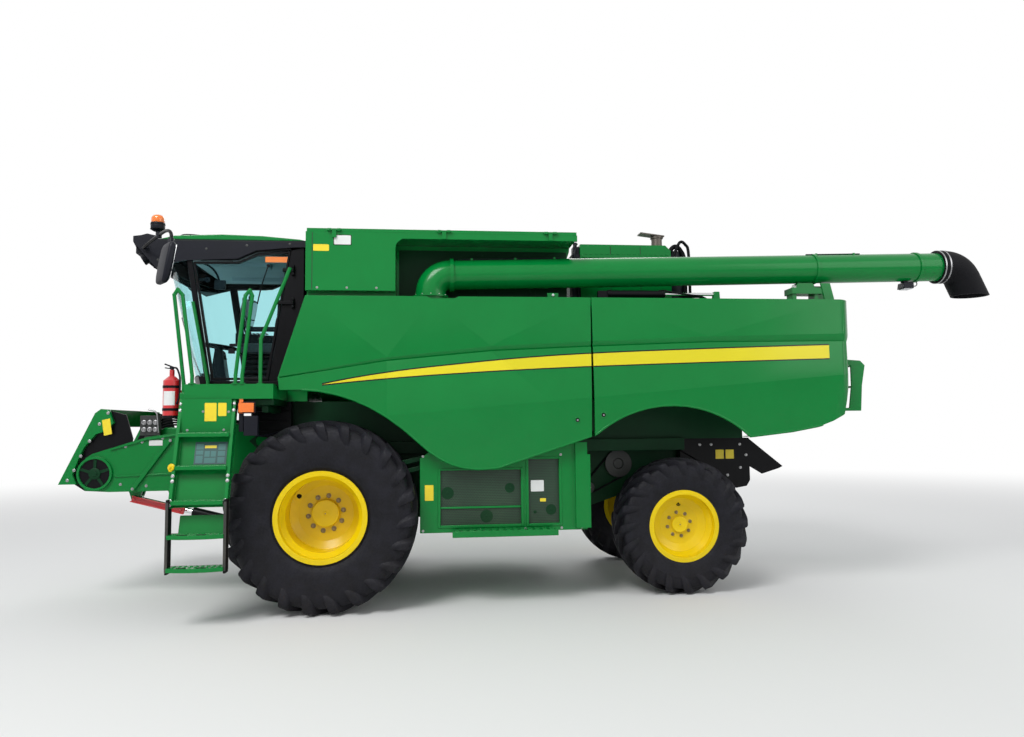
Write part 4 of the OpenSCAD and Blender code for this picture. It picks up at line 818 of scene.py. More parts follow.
def auger_details():
    # Bolts round the elbow's flange and the turret's foot
    s = Shape()
    for i in range(12):
        a = 2 * math.pi * i / 12 + 0.2
        s.bolt((TUBE_X, TUBE_Y + 160 * math.cos(a), TUBE_Z + 160 * math.sin(a)), (1, 0, 0), 8, 8, False)
    for i in range(12):
        a = 2 * math.pi * i / 12
        s.bolt((ELBOW_X + 167 * math.cos(a), TUBE_Y + 167 * math.sin(a), 3030), UP, 6, 6, False)
    s.make("elbow_bolts", "bare_steel", "auger")
    Shape().band((ELBOW_X, TUBE_Y, 3010), UP, 156, 177, 20, 48).make("elbow_ring", "green_paint", "auger", bevel=2)
    # Clamp bands of the rubber spout
    for n, x in enumerate((6445, 6500)):
        clamp = Shape().band((x, TUBE_Y, tube_z(x)), (1, 0, TUBE_RISE), 176, 179.5, 14, 48)
        clamp.make("spout_clamp_%d" % n, "bare_steel", "auger")
    # Pipe for the lamp's wire along the top of the tube, in clips
    s = Shape()
    for run in ((1300, 1700, 2330), (4960, 5250, 5560)):
        s.tube([(x, TUBE_Y - 40, tube_z(x) + 148) for x in run], 8, 8, 4)
    s.make("tube_conduit", "black_plastic", "auger")
    s = Shape()
    for x in (1420, 1860, 2260, 5060, 5480):
        s.box((x, TUBE_Y - 54, tube_z(x) + 132), (x + 22, TUBE_Y - 26, tube_z(x) + 160))
    s.make("conduit_clips", "green_paint", "auger", bevel=2)
    # Work lamp under the tube, on a strap
    s = Shape().box((6050, -1276, 3218), (6110, -1224, 3240))
    s.prism([(6030, 3150), (6042, 3214), (6120, 3222), (6150, 3212), (6150, 3150)], "xz", -1310, -1190)
    s.make("tube_lamp", "black_plastic", "auger", bevel=6)
    Shape().prism(rounded(6048, 3143, 6136, 3150.5, 3), "xz", -1298, -1202).make(
            "tube_lamp_lens", "clear_lens", "auger")
    s = Shape().tube([(6060, -1250, 3216), (6180, -1262, 3180), (6215, -1262, 3200), (6205, -1262, 3232)], 5, 8, 6)
    s.make("tube_lamp_wire", "black_rubber", "auger")
    # Turning cylinder between the deck and the tube, with its rod and hoses
    y = -1345
    s = Shape().rod((2830, y, 3052), (3380, y, 3054), 38, 28).rod((2800, y, 3052), (2834, y, 3052), 44, 28)
    s.lathe([(0, 44), (26, 44), (30, 40), (30, 0)], (3366, y, 3054), (1, 0, 0), 28)
    s.box((2700, y - 27, 3000), (2806, y + 27, 3082)).make("turn_cylinder", "black_paint", bevel=3)
    Shape().rod((3392, y, 3054), (3930, y, 3056), 16, 18).make("turn_rod", "chrome_rod")
    s = Shape().prism([(3905, 3000), (3975, 3000), (3970, 3082), (3915, 3082)], "xz", y - 30, y + 30)
    s.make("turn_rod_eye", "green_paint", bevel=3)
    s = Shape()
    for n in range(3):
        s.tube([(3340, -1330 - 12 * n, 3088), (3430, -1320 - 20 * n, 3092 - 6 * n),
                (3600, -1330 - 18 * n, 3030 + 12 * n), (3780, -1300 - 24 * n, 3034), (3900, -1240, 3016)], 9, 8, 6)
    s.make("turn_hoses", "black_rubber")


# ---------------------------------------------------------------- engine deck and tail
SCREEN_X, SCREEN_Z = 3170, 3320
PULLEY, ROLLER = (3090, 1300), (2755, 1040)


def deck_details():
    # Valve blocks and pipes at both ends of the hood
    s = Shape().box((2548, -860, 3560), (2618, -760, 3650)).rod((2582, -800, 3650), (2582, -800, 3706), 22, 16)
    s.rod((2560, -836, 3640), (2600, -836, 3690), 12, 12)
    s.tube([(2582, -860, 3620), (2560, -880, 3560), (2575, -880, 3400), (2600, -880, 3010)], 13, 10, 6)
    s.box((2530, -880, 3000), (2640, -740, 3560)).make("deck_valve", "black_plastic", bevel=5)
    s = Shape()
    for pts, r in (([(3700, -520, 3560), (3740, -520, 3700), (3800, -520, 3748), (3860, -520, 3700),
                     (3900, -520, 3560), (3900, -520, 3010)], 26),
                   ([(3760, -560, 3620), (3830, -580, 3780), (3900, -570, 3760), (3940, -560, 3640),
                     (3945, -560, 3010)], 17),
                   ([(3690, -420, 3700), (3650, -300, 3720), (3560, -260, 3640)], 34)):
        s.tube(pts, r, 14, 6)
    s.make("engine_pipes", "black_rubber")
    s = Shape()
    for z in (3100, 3340, 3500):
        s.band((3790, -420, z), UP, 130, 134, 22)
    s.make("air_cleaner_bands", "bare_steel")
    # Perforated rail along the hood's foot
    s = Shape().box((2640, -912, 3520), (3610, -901, 3556))
    for x in range(2660, 3600, 60):
        s.box((x, -914, 3556), (x + 30, -900, 3566))
    s.make("hood_rail", "green_paint", bevel=2)
    s = Shape()
    for x in (2950, 3280):
        s.prism([(x - 2.5, 3010), (x + 2.5, 3010), (x + 2.5, 3650), (x - 2.5, 3650)], "xz", -902, -899.5)
        s.box((x - 2.5, -895, 3667), (x + 2.5, 895, 3669))
    s.make("hood_seams", "seam_shadow")
    s = Shape().band((3588, -500, 3690), UP, 60, 66, 26, 32).rod((3588, -566, 3703), (3588, -584, 3703), 7, 8)
    s.make("exhaust_clamp", "bare_steel")
    # Rotary screen: perforated drum face, spokes and seal
    x, z = SCREEN_X, SCREEN_Z
    face = Shape().lathe([(0, 262), (3, 262), (3, 0)], (x, 1424, z), (0, 1, 0), 64)
    face.make("rotary_screen", "mesh_sheet", slot="black_plastic")
    s = Shape()
    for i in range(8):
        a = math.pi * i / 4
        s.rod((x, 1429, z), (x + 258 * math.cos(a), 1429, z + 258 * math.sin(a)), 5, 8)
    s.lathe([(0, 44), (6, 44), (9, 38), (9, 0)], (x, 1426, z), (0, 1, 0), 24)
    s.band((x, 1426, z), (0, 1, 0), 250, 262, 10, 64)
    s.make("rotary_screen_arms", "black_paint")
    s = Shape()
    for z in range(3040, 3620, 30):
        for x0, x1 in ((2730, 2850), (3490, 3590)):
            s.prism([(x0, z), (x1, z), (x1, z + 6), (x0, z + 6)], "xz", 1399, 1406)
    s.make("screen_louvres", "black_paint")
    # Small lamp on the deck's edge, and the catwalk's tread plates
    Shape().box((2180, -1392, 3004), (2290, -1360, 3050)).make("deck_lamp_bracket", "green_paint", bevel=4)
    lamp = Shape().lathe([(0, 14), (8, 13), (12, 8), (12, 0)], (2236, -1392, 3028), (0, -1, 0), 20)
    lamp.make("deck_lamp", "clear_lens")
    Shape().box((3680, -1180, 3000), (5200, 1300, 3005)).make("deck_tread", "tread_plate", bevel=1)


def tail_details():
    for side, hand in SIDES:
        y = side * 1120
        s = Shape().prism(rounded(y - 80, 2080, y + 80, 2300, 14), "yz", 5290, 5312)
        s.make("tail_lamp_box_" + hand, "black_plastic", bevel=4)
        for n, (z, finish) in enumerate(((2105, "red_lens"), (2175, "amber_lens"), (2240, "red_lens"))):
            s = Shape().prism(rounded(y - 62, z, y + 62, z + 48, 8), "yz", 5310, 5320)
            s.make("tail_lamp_%s_%d" % (hand, n), finish, bevel=4)
        places = [(5349, side * y, z) for z in (2750, 2880) for y in (300, 700, 1100)]
        Shape().bolts(places, (1, 0, 0), 9, 7).make("tail_bolts_" + hand, "bare_steel")
        # Blank plates and bolts on the chopper's side, hinge of its tail board
        for n, x in enumerate((4168, 4284)):
            s = Shape().on_side(rounded(x, 1340, x + 94, 1440, 6), side, CHOPPER_Y, CHOPPER_Y + 2)
            s.make("chopper_plate_%s_%d" % (hand, n), "yellow_sticker")
        places = [(x, side * CHOPPER_Y, z) for x, z in (
            (3990, 1500), (4120, 1500), (4450, 1500), (4450, 1240), (4300, 1160), (4520, 1380))]
        Shape().bolts(places, (0, side, 0), 11, 9).make("chopper_bolts_" + hand, "bare_steel")
    s = Shape()
    for y in range(-480, 481, 160):
        s.prism([(4575, 1478), (4860, 1266), (4870, 1200), (4575, 1400)], "xz", y - 5, y + 5)
    s.make("spreader_vanes", "black_paint", bevel=1.5)
    s = Shape().box((5270, -560, 2560), (5330, 560, 2600)).rod((5326, -500, 2480), (5326, 500, 2480), 12, 12)
    for y in (-500, 500):
        s.rod((5326, y, 2480), (5282, y, 2480), 12, 12)
    s.make("hood_handle", "black_paint", bevel=3)
    # Grip strips on the rear ladder's rungs
    s = Shape()
    for x, z in ((5550, 2340), (5530, 2112), (5513, 1880)):
        for y in range(-1200, -880, 40):
            s.box((x - 52, y, z - 1), (x - 8, y + 14, z + 5))
    s.make("rear_rung_grips", "green_paint", bevel=1.5)
    # Belt drive between the rear wheel and the body: pulley, tension arm and roller
    (px, pz), (rx, rz) = PULLEY, ROLLER
    for side, hand in SIDES:
        out = (0, side, 0)
        s = Shape().lathe([(0, 150), (10, 150), (18, 130), (26, 150), (36, 150), (36, 60), (24, 50), (24, 0)],
                          (px, side * 472, pz), out, 40)
        s.lathe([(0, 62), (30, 62), (34, 56), (34, 0)], (rx, side * 472, rz), out, 28)
        s.on_side([(2722, 1296), (2752, 1300), (2772, 1040), (2740, 1036)], side, 470, 484)
        s.make("belt_pulleys_" + hand, "dark_steel", bevel=1.5)
        s = Shape()
        for run in (-1, 1):
            s.tube([(px + run * 92, side * 495, pz - run * 114), (rx + run * 42, side * 495, rz - run * 51)], 10, 8)
        s.make("belt_" + hand, "black_rubber")
        s = Shape().bolt((2737, side * 484, 1290), out, 12, 10).bolt((rx, side * 506, rz), out, 14, 10)
        s.make("belt_bolts_" + hand, "bare_steel")


# ---------------------------------------------------------------- lower sides
def lower_side_details():
    for side, hand in SIDES:
        out = (0, side, 0)
        # Two mesh screens: X and Z of two corners, X, Z and radius of the wheels that show behind
        for n, (x0, x1, z0, z1, discs) in enumerate((
                (1110, 1900, 770, 1300, ((1180, 1080, 60), (1790, 1120, 48), (1560, 850, 62))),
                (1975, 2280, 770, 1400, ((2200, 900, 52), (2040, 880, 16))))):
            Shape().on_side([(x0, z0), (x1, z0), (x1, z1), (x0, z1)], side, 1301, 1305).make(
                    "screen_%s_%d" % (hand, n), "mesh_sheet")
            f = Shape()
            for a, b, c, d in ((x0 - 26, z0 - 26, x0, z1 + 20), (x1, z0 - 26, x1 + 26, z1 + 20),
                               (x0, z0 - 26, x1, z0), (x0, z1, x1, z1 + 20)):
                f.on_side([(a, b), (c, b), (c, d), (a, d)], side, SHEET_Y, SHEET_Y + 8)
            if n == 0:
                f.on_side([(x0, 928), (x1, 928), (x1, 948), (x0, 948)], side, 1304, 1322)
            f.make("screen_frame_%s_%d" % (hand, n), "green_paint", bevel=3)
            p = Shape()
            for cx, cz, r in discs:
                p.lathe([(0, r - 7), (0, r), (3, r), (3, r - 7)], (cx, side * 1305, cz), out, 32)
                p.lathe([(0, 12), (4, 12), (5, 9), (5, 0)], (cx, side * 1305, cz), out, 14)
            p.make("behind_mesh_%s_%d" % (hand, n), "dark_green_paint")
        # Blank plates: X and Z of two corners, face they lie on, finish
        for n, (x0, z0, x1, z1, y, finish) in enumerate((
                (958, 1012, 1042, 1162, 1330, "yellow_sticker"), (2000, 1080, 2130, 1190, 1305, "white_sticker"),
                (2090, 980, 2150, 1012, 1305, "yellow_sticker"))):
            s = Shape().on_side(rounded(x0, z0, x1, z1, 6), side, y, y + 2)
            s.make("side_plate_%s_%d" % (hand, n), finish)
        # Step platform: bright front board and a toothed top
        s = Shape().on_side([(1219, 676), (2236, 676), (2236, 734), (1219, 734)], side, 1512, 1524)
        for x in range(1240, 2220, 70):
            s.on_side([(x, 722), (x + 46, 722), (x + 40, 742), (x + 6, 742)], side, 1350, 1512)
        s.make("step_board_" + hand, "green_paint", bevel=3)
        places = [(x, side * SHEET_Y, z) for x in (940, 1490, 1940, 2300, 2500) for z in (722, 1440)]
        Shape().bolts(places, out, 9, 7).make("side_bolts_" + hand, "bare_steel")
        # Channels behind the front wheel, in dark green paint that also stands in for the shade under the wheel arch
        s = Shape().on_side([(640, 1330), (1180, 1452), (1180, 1500), (640, 1378)], side, 1180, 1215)
        s.on_side([(640, 1240), (1120, 1346), (1120, 1392), (640, 1286)], side, 1180, 1215)
        s.box((1090, side * 700, 1400), (1150, side * 1215, 1440))
        s.make("wheel_arch_channels_shaded_" + hand, "dark_green_paint", bevel=4)
        # Lines along the frame to the final drive
        s = Shape()
        for k in range(0, 42, 14):
            s.tube([(-300, side * (790 + k), 1420), (-120, side * (792 + k), 1330), (60, side * (800 + k), 1150),
                    (80, side * (820 + k), 1020)], 8, 8, 5)
        s.make("axle_lines_" + hand, "black_rubber")
        turns = [2 * math.pi * k / 10 for k in range(10)]
        places = [(185 * math.cos(a), side * 950, 900 + 185 * math.sin(a)) for a in turns]
        Shape().bolts(places, out, 12, 10, False).make("final_drive_bolts_" + hand, "bare_steel")


wheels()
shield_latches()
shield_lips()
shields()
tank_details()
auger_details()
deck_details()
tail_details()
lower_side_details()


# ---------------------------------------------------------------- cab
# The windscreen is an arc of NOSE_ARC degrees to each hand, which leans forward by CAB_LEAN
CAB_FLOOR, CAB_LEAN, NOSE_ARC = 2150, 0.238, 27.5
HINGE_X, HINGE_Y, HINGE_ZS = -385, -912, (2990, 3330)


def windscreen_x(y, z):
    """X of the windscreen's outer face."""
    a = math.asin(max(-1, min(1, y * math.sin(math.radians(NOSE_ARC)) / 866)))
    return -1486 + 1894 * (1 - math.cos(a)) - CAB_LEAN * (z - CAB_FLOOR)


def door_post_x(z):
    """Middle of the post between the windscreen and the door."""
    return -1208 - (z - 2223) * 0.161


def door_rear_x(z):
    return -409 - (3560 - z) * 0.157


def plan_curve(z, t, back=-262):
    """The cab's plan at a height, t inside its face, from the right rear round the nose to the left rear."""
    lean, h = CAB_LEAN * (z - CAB_FLOOR), CAB_Y - t
    arc = []
    for i in range(-5, 6):
        a = math.radians(NOSE_ARC * i / 5)
        arc.append((408 - (1908 - t) * math.cos(a) - lean, -h * math.sin(a) / math.sin(math.radians(NOSE_ARC))))
    return [(back, h)] + arc + [(back, -h)]


def plan_band(s, z0, z1, t0, t1, back):
    """Wall round the cab's front and sides between two heights."""
    corners = [[(*p, z) for p in plan_curve(z, t, back)] for z, t in ((z0, t0), (z1, t0), (z1, t1), (z0, t1))]
    return s.skin([list(ring) for ring in zip(*corners)])


def cab_body():
    """The cab's frame with slender posts, in the place of its solid."""
    s = Shape()
    plan_band(s, CAB_FLOOR, 2262, 0, 42, -1236)
    plan_band(s, 3446, 3640, 0, 42, -1000)
    s.prism(plan_curve(CAB_FLOOR, 20), "xy", CAB_FLOOR, 2200).prism(plan_curve(3600, 20), "xy", 3598, 3640)
    for side in (LEFT, RIGHT):
        lo, hi = sorted((side * CAB_Y, side * 842))
        s.box((-1250, lo, CAB_FLOOR), (-242, hi, 2212))
        s.prism([(door_rear_x(2215), 2215), (-242, 2215), (-242, 3600), (door_rear_x(3560), 3562)], "xz", lo, hi)
        s.prism([(-1640, 3446), (-942, 3452), (-754, 3534), (-409, 3562), (-409, 3640), (-1640, 3640)], "xz", lo, hi)
        rings = []
        for z in (2205, 2500, 2800, 3100, 3400, 3455):
            x = door_post_x(z)
            rings.append([(px, py, z) for px, py in rounded(x - 44, lo, x + (10 if side == LEFT else 44), hi, 7, 2)])
        s.skin(rings)
    # Rear wall round its window
    for y0, y1, z0, z1 in ((-CAB_Y, CAB_Y, CAB_FLOOR, 2752), (-CAB_Y, CAB_Y, 3298, 3640),
                           (-CAB_Y, -558, 2752, 3298), (558, CAB_Y, 2752, 3298)):
        s.box((-285, y0, z0), (-240, y1, z1))
    for z in HINGE_ZS:
        for dz in (-32, 46):
            s.prism(rounded(-399, z + dz, -371, z + dz + 26, 5), "xz", -926, -870)
        s.lathe([(-36, 0), (-36, 14), (-30, 10), (70, 10), (76, 14), (76, 0)], (HINGE_X, HINGE_Y, z), UP, 20)
    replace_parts(s.make("cab_body", "black_paint", bevel=5), "cab_shell")


def door_line(g):
    """Outline of the door, less g all round."""
    return [(door_post_x(2215) + 14 + g, 2215 + g), (door_post_x(3440) + 14 + g, 3440 - g), (-942 + g * 0.2, 3446 - g),
            (-754 + g * 0.4, 3530 - g), (door_rear_x(3560) - g, 3560 - g), (door_rear_x(2215) - g, 2215 + g)]


def door():
    # Slim frame round one sheet of glass, with its rubber and hinges
    outer, inner = door_line(6), door_line(30)
    n = len(outer)
    v = [(x, y, z) for line in (outer, inner) for y in (-CAB_Y, -846) for x, z in line]
    f = []
    for i in range(n):
        j = (i + 1) % n
        f += [(i, j, 2 * n + j, 2 * n + i), (n + i, 3 * n + i, 3 * n + j, n + j), (i, n + i, n + j, j),
              (2 * n + i, 2 * n + j, 3 * n + j, 3 * n + i)]
    s = Shape().add(v, f)
    for z in HINGE_ZS:
        x = door_rear_x(z)
        s.prism(rounded(x - 46, z, x - 14, z + 40, 6), "xz", -890, -878)
        s.prism(rounded(x - 46, z + 2, HINGE_X, z + 38, 5), "xz", HINGE_Y, -888)
        s.rod((HINGE_X, HINGE_Y, z), (HINGE_X, HINGE_Y, z + 40), 18, 20)
    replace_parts(s.make("door_frame", "black_paint", "cab_door", bevel=4), "cab_door")
    pane = Shape().prism(door_line(28), "xz", -866, -858).make("door_pane", "window_glass", "cab_door")
    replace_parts(pane, "door_glass")
    rim = [(x, -850, z) for x, z in door_line(24)]
    Shape().tube(rim + rim[:1], 7, 8).make("door_rubber", "black_rubber", "cab_door")


def mirrors():
    """Two slender housings that hang from bowed arms, in the place of their solid."""
    arms, cases, silver = Shape(), Shape(), Shape()
    turn = math.radians(36)
    for side in (LEFT, RIGHT):
        def at(z, across, out):
            """A point of the turned housing, across its face and out of it."""
            x = -1372 - (3450 - z) * 0.17 + out * math.cos(turn) - across * math.sin(turn)
            return (x, side * 1630 - side * (out * math.sin(turn) + across * math.cos(turn)), z)

        arms.tube([(-1838, side * 905, 3559), (-1838, side * 955, 3559), (-1600, side * 1240, 3612),
                   (-1443, side * 1500, 3592), (-1374, side * 1596, 3540), (-1368, side * 1612, 3440)], 16, 12, 6)
        # Height, half thickness and half width of the housing
        cases.skin([[at(z, q, p) for p, q in rounded(-t, -w, t, w, min(t, 26), 5)] for z, t, w in (
            (3062, 10, 62), (3070, 22, 90), (3090, 30, 108), (3140, 34, 117), (3260, 36, 120), (3390, 34, 118),
            (3424, 29, 108), (3440, 21, 92), (3448, 10, 64))])
        for z0, z1 in ((3100, 3172), (3188, 3414)):
            silver.add([at(z, across, out) for out in (30, 36.6)
                        for z, across in ((z0, -98), (z0, 98), (z1, 98), (z1, -98))],
                       [(3, 2, 1, 0)] + BOX_FACES[1:])
        cases.lathe([(-34, 0), (-34, 27), (30, 27), (36, 21), (36, 0)], (-1368, side * 1610, 3462), UP, 20)
        cases.lathe([(-8, 44), (4, 44), (8, 36), (30, 26), (30, 0)], (-1838, side * 903, 3559), (0, side, 0), 24)
        cases.rod((-1600, side * 1240, 3584), (-1600, side * 1240, 3640), 24, 14)
    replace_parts(arms.make("mirror_arms", "black_paint", smooth=60), "mirrors")
    cases.make("mirror_cases", "black_plastic", smooth=60)
    silver.make("mirror_glass", "mirror_silver")


def visor_details():
    # Work lamps under the visor's nose: Y and how far down the nose
    housings, lenses = Shape(), Shape()
    for y, t in ((-770, 0.62), (-560, 0.34), (-300, 0.30), (300, 0.30), (560, 0.34), (770, 0.62)):
        at, out = (-2046 + 245 * t, y, 3608 - 200 * t), Vector((-0.86, 0.12 if y > 0 else -0.12, -0.50))
        housings.lathe([(-30, 60), (14, 68), (26, 68), (26, 58), (20, 56), (20, 0)], at, out, 28)
        lenses.lathe([(20, 57), (23, 54), (25, 30), (26, 0)], at, out, 28)
    housings.make("visor_lamp_housings", "black_plastic", smooth=30)
    lenses.make("visor_lamp_lenses", "clear_lens", smooth=50)
    # Bands round the beacon's base
    s = Shape()
    for z in (3796, 3846):
        s.band((-1790, -720, z), UP, 70, 73, 6)
    s.make("beacon_bands", "black_rubber")
    line = ((-1610, 3688), (-1590, 3752), (-1500, 3770), (-1250, 3746), (-1080, 3714))
    Shape().tube([(x, -640, z) for x, z in line], 6, 8, 6).make("roof_antenna", "black_rubber")
    for side, hand in SIDES:
        places = [(x, side * 905, z) for x, z in (
            (-1650, 3560), (-1250, 3560), (-850, 3600), (-420, 3622), (-1720, 3440))]
        Shape().bolts(places, (0, side, 0), 9, 5).make("skirt_screws_" + hand, "dark_steel")
        lo, hi = sorted((side * 904, side * 906))
        s = Shape().prism([(-1700, 3641), (-300, 3641), (-300, 3646), (-1700, 3646)], "xz", lo, hi)
        s.make("skirt_seam_" + hand, "seam_shadow")


def cab_fittings():
    # Gasket round the windscreen's foot and top, wiper, washer pipe
    s = Shape()
    for z, r in ((2268, 9), (3405, 8)):
        s.tube([(windscreen_x(y, z) - 2, y, z) for y in range(-800, 801, 100)], r, 8)
    s.make("windscreen_gasket", "black_rubber")
    on_glass = lambda y, z, proud: (windscreen_x(y, z) - proud, y, z)
    s = Shape().lathe([(0, 26), (24, 24), (30, 16), (30, 0)], (windscreen_x(0, 2330) + 2, 60, 2330), (-1, 0, 0), 20)
    s.tube([on_glass(60, 2330, 26), on_glass(-60, 2600, 34), on_glass(-210, 2950, 20)], 9, 8, 5)
    s.tube([on_glass(-290 + 180 * t, 2640 + 660 * t, 10) for t in (0, 0.25, 0.5, 0.75, 1)], 8, 8)
    s.make("wiper", "black_paint")
    # Clamp, arm and screen on the left front post, inside
    s = Shape().tube([(-1330, -800, 3440), (-1240, -790, 3400), (-1180, -780, 3330), (-1150, -760, 3240)], 11, 10, 5)
    s.box((-1200, -775, 3170), (-1090, -745, 3262)).rod((-1400, -840, 3252), (-1262, -800, 3262), 13, 12)
    s.lathe([(0, 28), (20, 28), (20, 0)], (-1262, -808, 3262), (0, 1, 0), 18)
    s.make("post_monitor", "black_plastic", bevel=4)
    # Screen over the armrest, its stalk, the drive lever and the keys
    s = Shape().tube([(-1100, 470, 2830), (-1140, 470, 2960), (-1150, 450, 3060)], 14, 10, 5)
    s.prism(rounded(-1170, 3040, -1140, 3260, 8), "xz", 300, 590)
    s.tube([(-1130, 380, 2830), (-1160, 378, 2900), (-1168, 376, 2940)], 13, 10, 4)
    s.prism(rounded(-1200, 2930, -1140, 3010, 22), "xz", 350, 405)
    s.make("armrest_screen", "black_plastic", bevel=4)
    s = Shape().prism([(-1171.5, 3056), (-1170, 3056), (-1170, 3246), (-1171.5, 3246)], "xz", 314, 576)
    for x in range(-1060, -880, 45):
        for y in range(340, 475, 45):
            s.box((x, y, 2838), (x + 28, y + 28, 2846))
    s.make("armrest_keys", "dark_steel", bevel=1.5)
    # Instructor's seat folded at the left, floor mat, roof lining
    s = Shape().box((-640, -640, 2200), (-330, -330, 2560)).prism(rounded(-430, 2560, -340, 3000, 30), "xz", -640, -340)
    s.make("second_seat", "seat_fabric", bevel=26, segments=4)
    Shape().box((-1330, -700, 2201), (-420, 700, 2207)).make("floor_mat", "black_rubber", bevel=2)
    s = Shape().box((-1500, -740, 3500), (-340, 740, 3540))
    for y in (-420, 420):
        s.prism(rounded(-1300, 3460, -700, 3510, 18), "xz", y - 90, y + 90)
    s.make("roof_lining", "lining", bevel=10, segments=3)
    # Pedals and the column's boot
    s = Shape()
    for y in (120, 220):
        s.prism([(-1470, 2230), (-1400, 2230), (-1440, 2350), (-1500, 2350)], "xz", y, y + 70)
    s.lathe([(0, 70), (20, 52), (40, 62), (60, 46), (80, 54), (100, 40), (100, 0)], (-1320, 0, 2500), (-0.15, 0, 1), 24)
    s.make("pedals", "black_rubber", bevel=3)
    # Steering wheel's grip rim
    turns = [2 * math.pi * i / 12 for i in range(12)]
    s = Shape().lathe([(17 * math.cos(a), 187 + 17 * math.sin(a)) for a in turns], (-1341, 0, 2650),
                      (0.139, 0, 0.99), 48, closed=True)
    s.make("wheel_grip", "black_rubber", smooth=60)
    # Door: handle, lock, blank orange plate, the grab bar inside and the wiper
    s = Shape().prism(rounded(-1010, 2560, -880, 2590, 12), "xz", -900, -884)
    for x in (-985, -905):
        s.rod((x, -866, 2575), (x, -890, 2575), 9, 10)
    s.box((-1022, -892, 2490), (-960, -866, 2540)).make("door_handle", "black_plastic", "cab_door", bevel=4)
    Shape().prism(rounded(-672, 3436, -440, 3494, 6), "xz", -868.5, -866).make(
            "door_plate", "orange_sticker", "cab_door")
    s = Shape().tube([(-560, -845, 2640), (-555, -818, 2680), (-540, -818, 3000), (-536, -845, 3040)], 13, 10, 5)
    s.make("door_grab_bar", "black_plastic", "cab_door")
    s = Shape().tube([(-640, -874, 3400), (-700, -880, 3200), (-745, -876, 3000)], 7, 8, 4)
    s.rod((-640, -862, 3400), (-640, -886, 3400), 16, 14).make("door_wiper", "black_paint", "cab_door")
    # Rear wall's vents
    s = Shape()
    for z in range(2300, 2660, 30):
        s.box((-243, -500, z), (-236, 500, z + 12))
    s.make("cab_vents", "black_plastic")


def stuffed(name, rings, cap, puff=4.0, voxel=0.009):
    """A cushion from rings of points: closed form, blown up by cloth pressure by cap millimetres at the most."""
    s = Shape().skin(rings)
    obj = s.make(name, "seat_fabric", smooth=180)
    scene = bpy.context.scene
    bpy.context.view_layer.objects.active = obj
    obj.select_set(True)
    remesh = obj.modifiers.new("even", "REMESH")
    remesh.mode, remesh.voxel_size, remesh.use_smooth_shade = "VOXEL", voxel, True
    bpy.ops.object.modifier_apply(modifier="even")
    start = [v.co.copy() for v in obj.data.vertices]
    cloth = obj.modifiers.new("air", "CLOTH")
    c = cloth.settings
    c.quality, c.mass, c.use_pressure, c.uniform_pressure_force = 5, 0.3, True, puff
    c.effector_weights.gravity = 0
    cloth.collision_settings.use_collision = False
    cloth.point_cache.frame_start, cloth.point_cache.frame_end = 1, 20
    for f in range(1, 21):
        scene.frame_set(f)
    bpy.ops.object.modifier_apply(modifier="air")
    scene.frame_set(1)
    for v, p in zip(obj.data.vertices, start):
        d = v.co - p
        if d.length > cap / 1000:
            v.co = p + d * (cap / 1000 / d.length)
    return obj


def sew(obj, axis, places, depth, half=0.012):
    """Presses sewn channels across a cushion at the places, in millimetres along the axis."""
    for v, n in zip(obj.data.vertices, [x.normal.copy() for x in obj.data.vertices]):
        for p in places:
            d = abs(v.co[axis] - p / 1000)
            if d < half * 2.4:
                v.co -= n * depth / 1000 * math.exp(-(d / half) ** 2 * 1.4)
    sub = obj.modifiers.new("fine", "SUBSURF")
    sub.levels = sub.render_levels = 1


def pad_ring(x0, x1, half, z, r):
    return [(px, py, z) for px, py in rounded(x0, -half, x1, half, r, 5)]


def seat():
    # Cushion on its pan, backrest leaning with the CAD solid, bellows and frame
    x = SEAT_X
    cushion = stuffed("seat_cushion", [
        pad_ring(x - back, x + front, half, z, r) for back, front, half, z, r in (
            (236, 216, 222, 2562, 60), (244, 228, 236, 2590, 70), (244, 228, 236, 2634, 70),
            (222, 206, 214, 2656, 60))], 14)
    sew(cushion, 1, (-120, 0, 120), 7)
    # Height and half width of the backrest, how far it swells to the front and the rear
    rings = []
    for z, half, t0, t1 in ((2690, 196, 0, 0), (2730, 216, -8, 8), (2900, 224, -14, 10), (3080, 214, -10, 8),
                            (3200, 170, -4, 4), (3252, 120, 0, 0)):
        lean = (z - 2670) / 600 * 85
        rings.append(pad_ring(x + 150 + lean + t0, x + 228 + lean + t1, half, z, 30))
    back = stuffed("seat_back", rings, 12)
    sew(back, 2, (2830, 2980, 3130), 6)
    s = Shape().box((x - 230, -232, 2545), (x + 236, 232, 2566)).box((x - 170, -170, 2200), (x + 170, 170, 2240))
    for z in range(2262, 2542, 56):
        s.skin([pad_ring(x - half, x + half, half, z + up, r) for half, up, r in (
            (150, 0, 40), (186, 24, 50), (186, 32, 50), (150, 56, 40))])
    bellows = s.make("seat_suspension", "black_rubber", bevel=2)
    s = Shape().prism([(x + 262, 2660), (x + 286, 2660), (x + 352, 3220), (x + 326, 3220)], "xz", -180, 180)
    s.prism(rounded(x - 120, 2790, x + 200, 2840, 20), "xz", -300, -246)
    s.rod((x + 190, -272, 2660), (x + 190, -272, 2810), 14, 12).make("seat_frame", "black_plastic", bevel=6)
    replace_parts(bellows, "seat")


# ---------------------------------------------------------------- ladder, rails and extinguisher
def ladder_y(z):
    """Y of the ladder's front face, which stands out further at its foot."""
    return -1600 - (2002 - z) * 0.29


def on_back(x0, z0, x1, z1, proud, thick):
    """Plate lying on the ladder's closed back, from its lower corner to its upper one."""
    v = [(x, ladder_y(z) + 74 - d, z) for d in (proud, proud + thick)
         for x, z in ((x0, z0), (x1, z0), (x1, z1), (x0, z1))]
    return Shape().add(v, [(0, 1, 2, 3), (7, 6, 5, 4), (0, 4, 5, 1), (1, 5, 6, 2), (2, 6, 7, 3), (3, 7, 4, 0)])


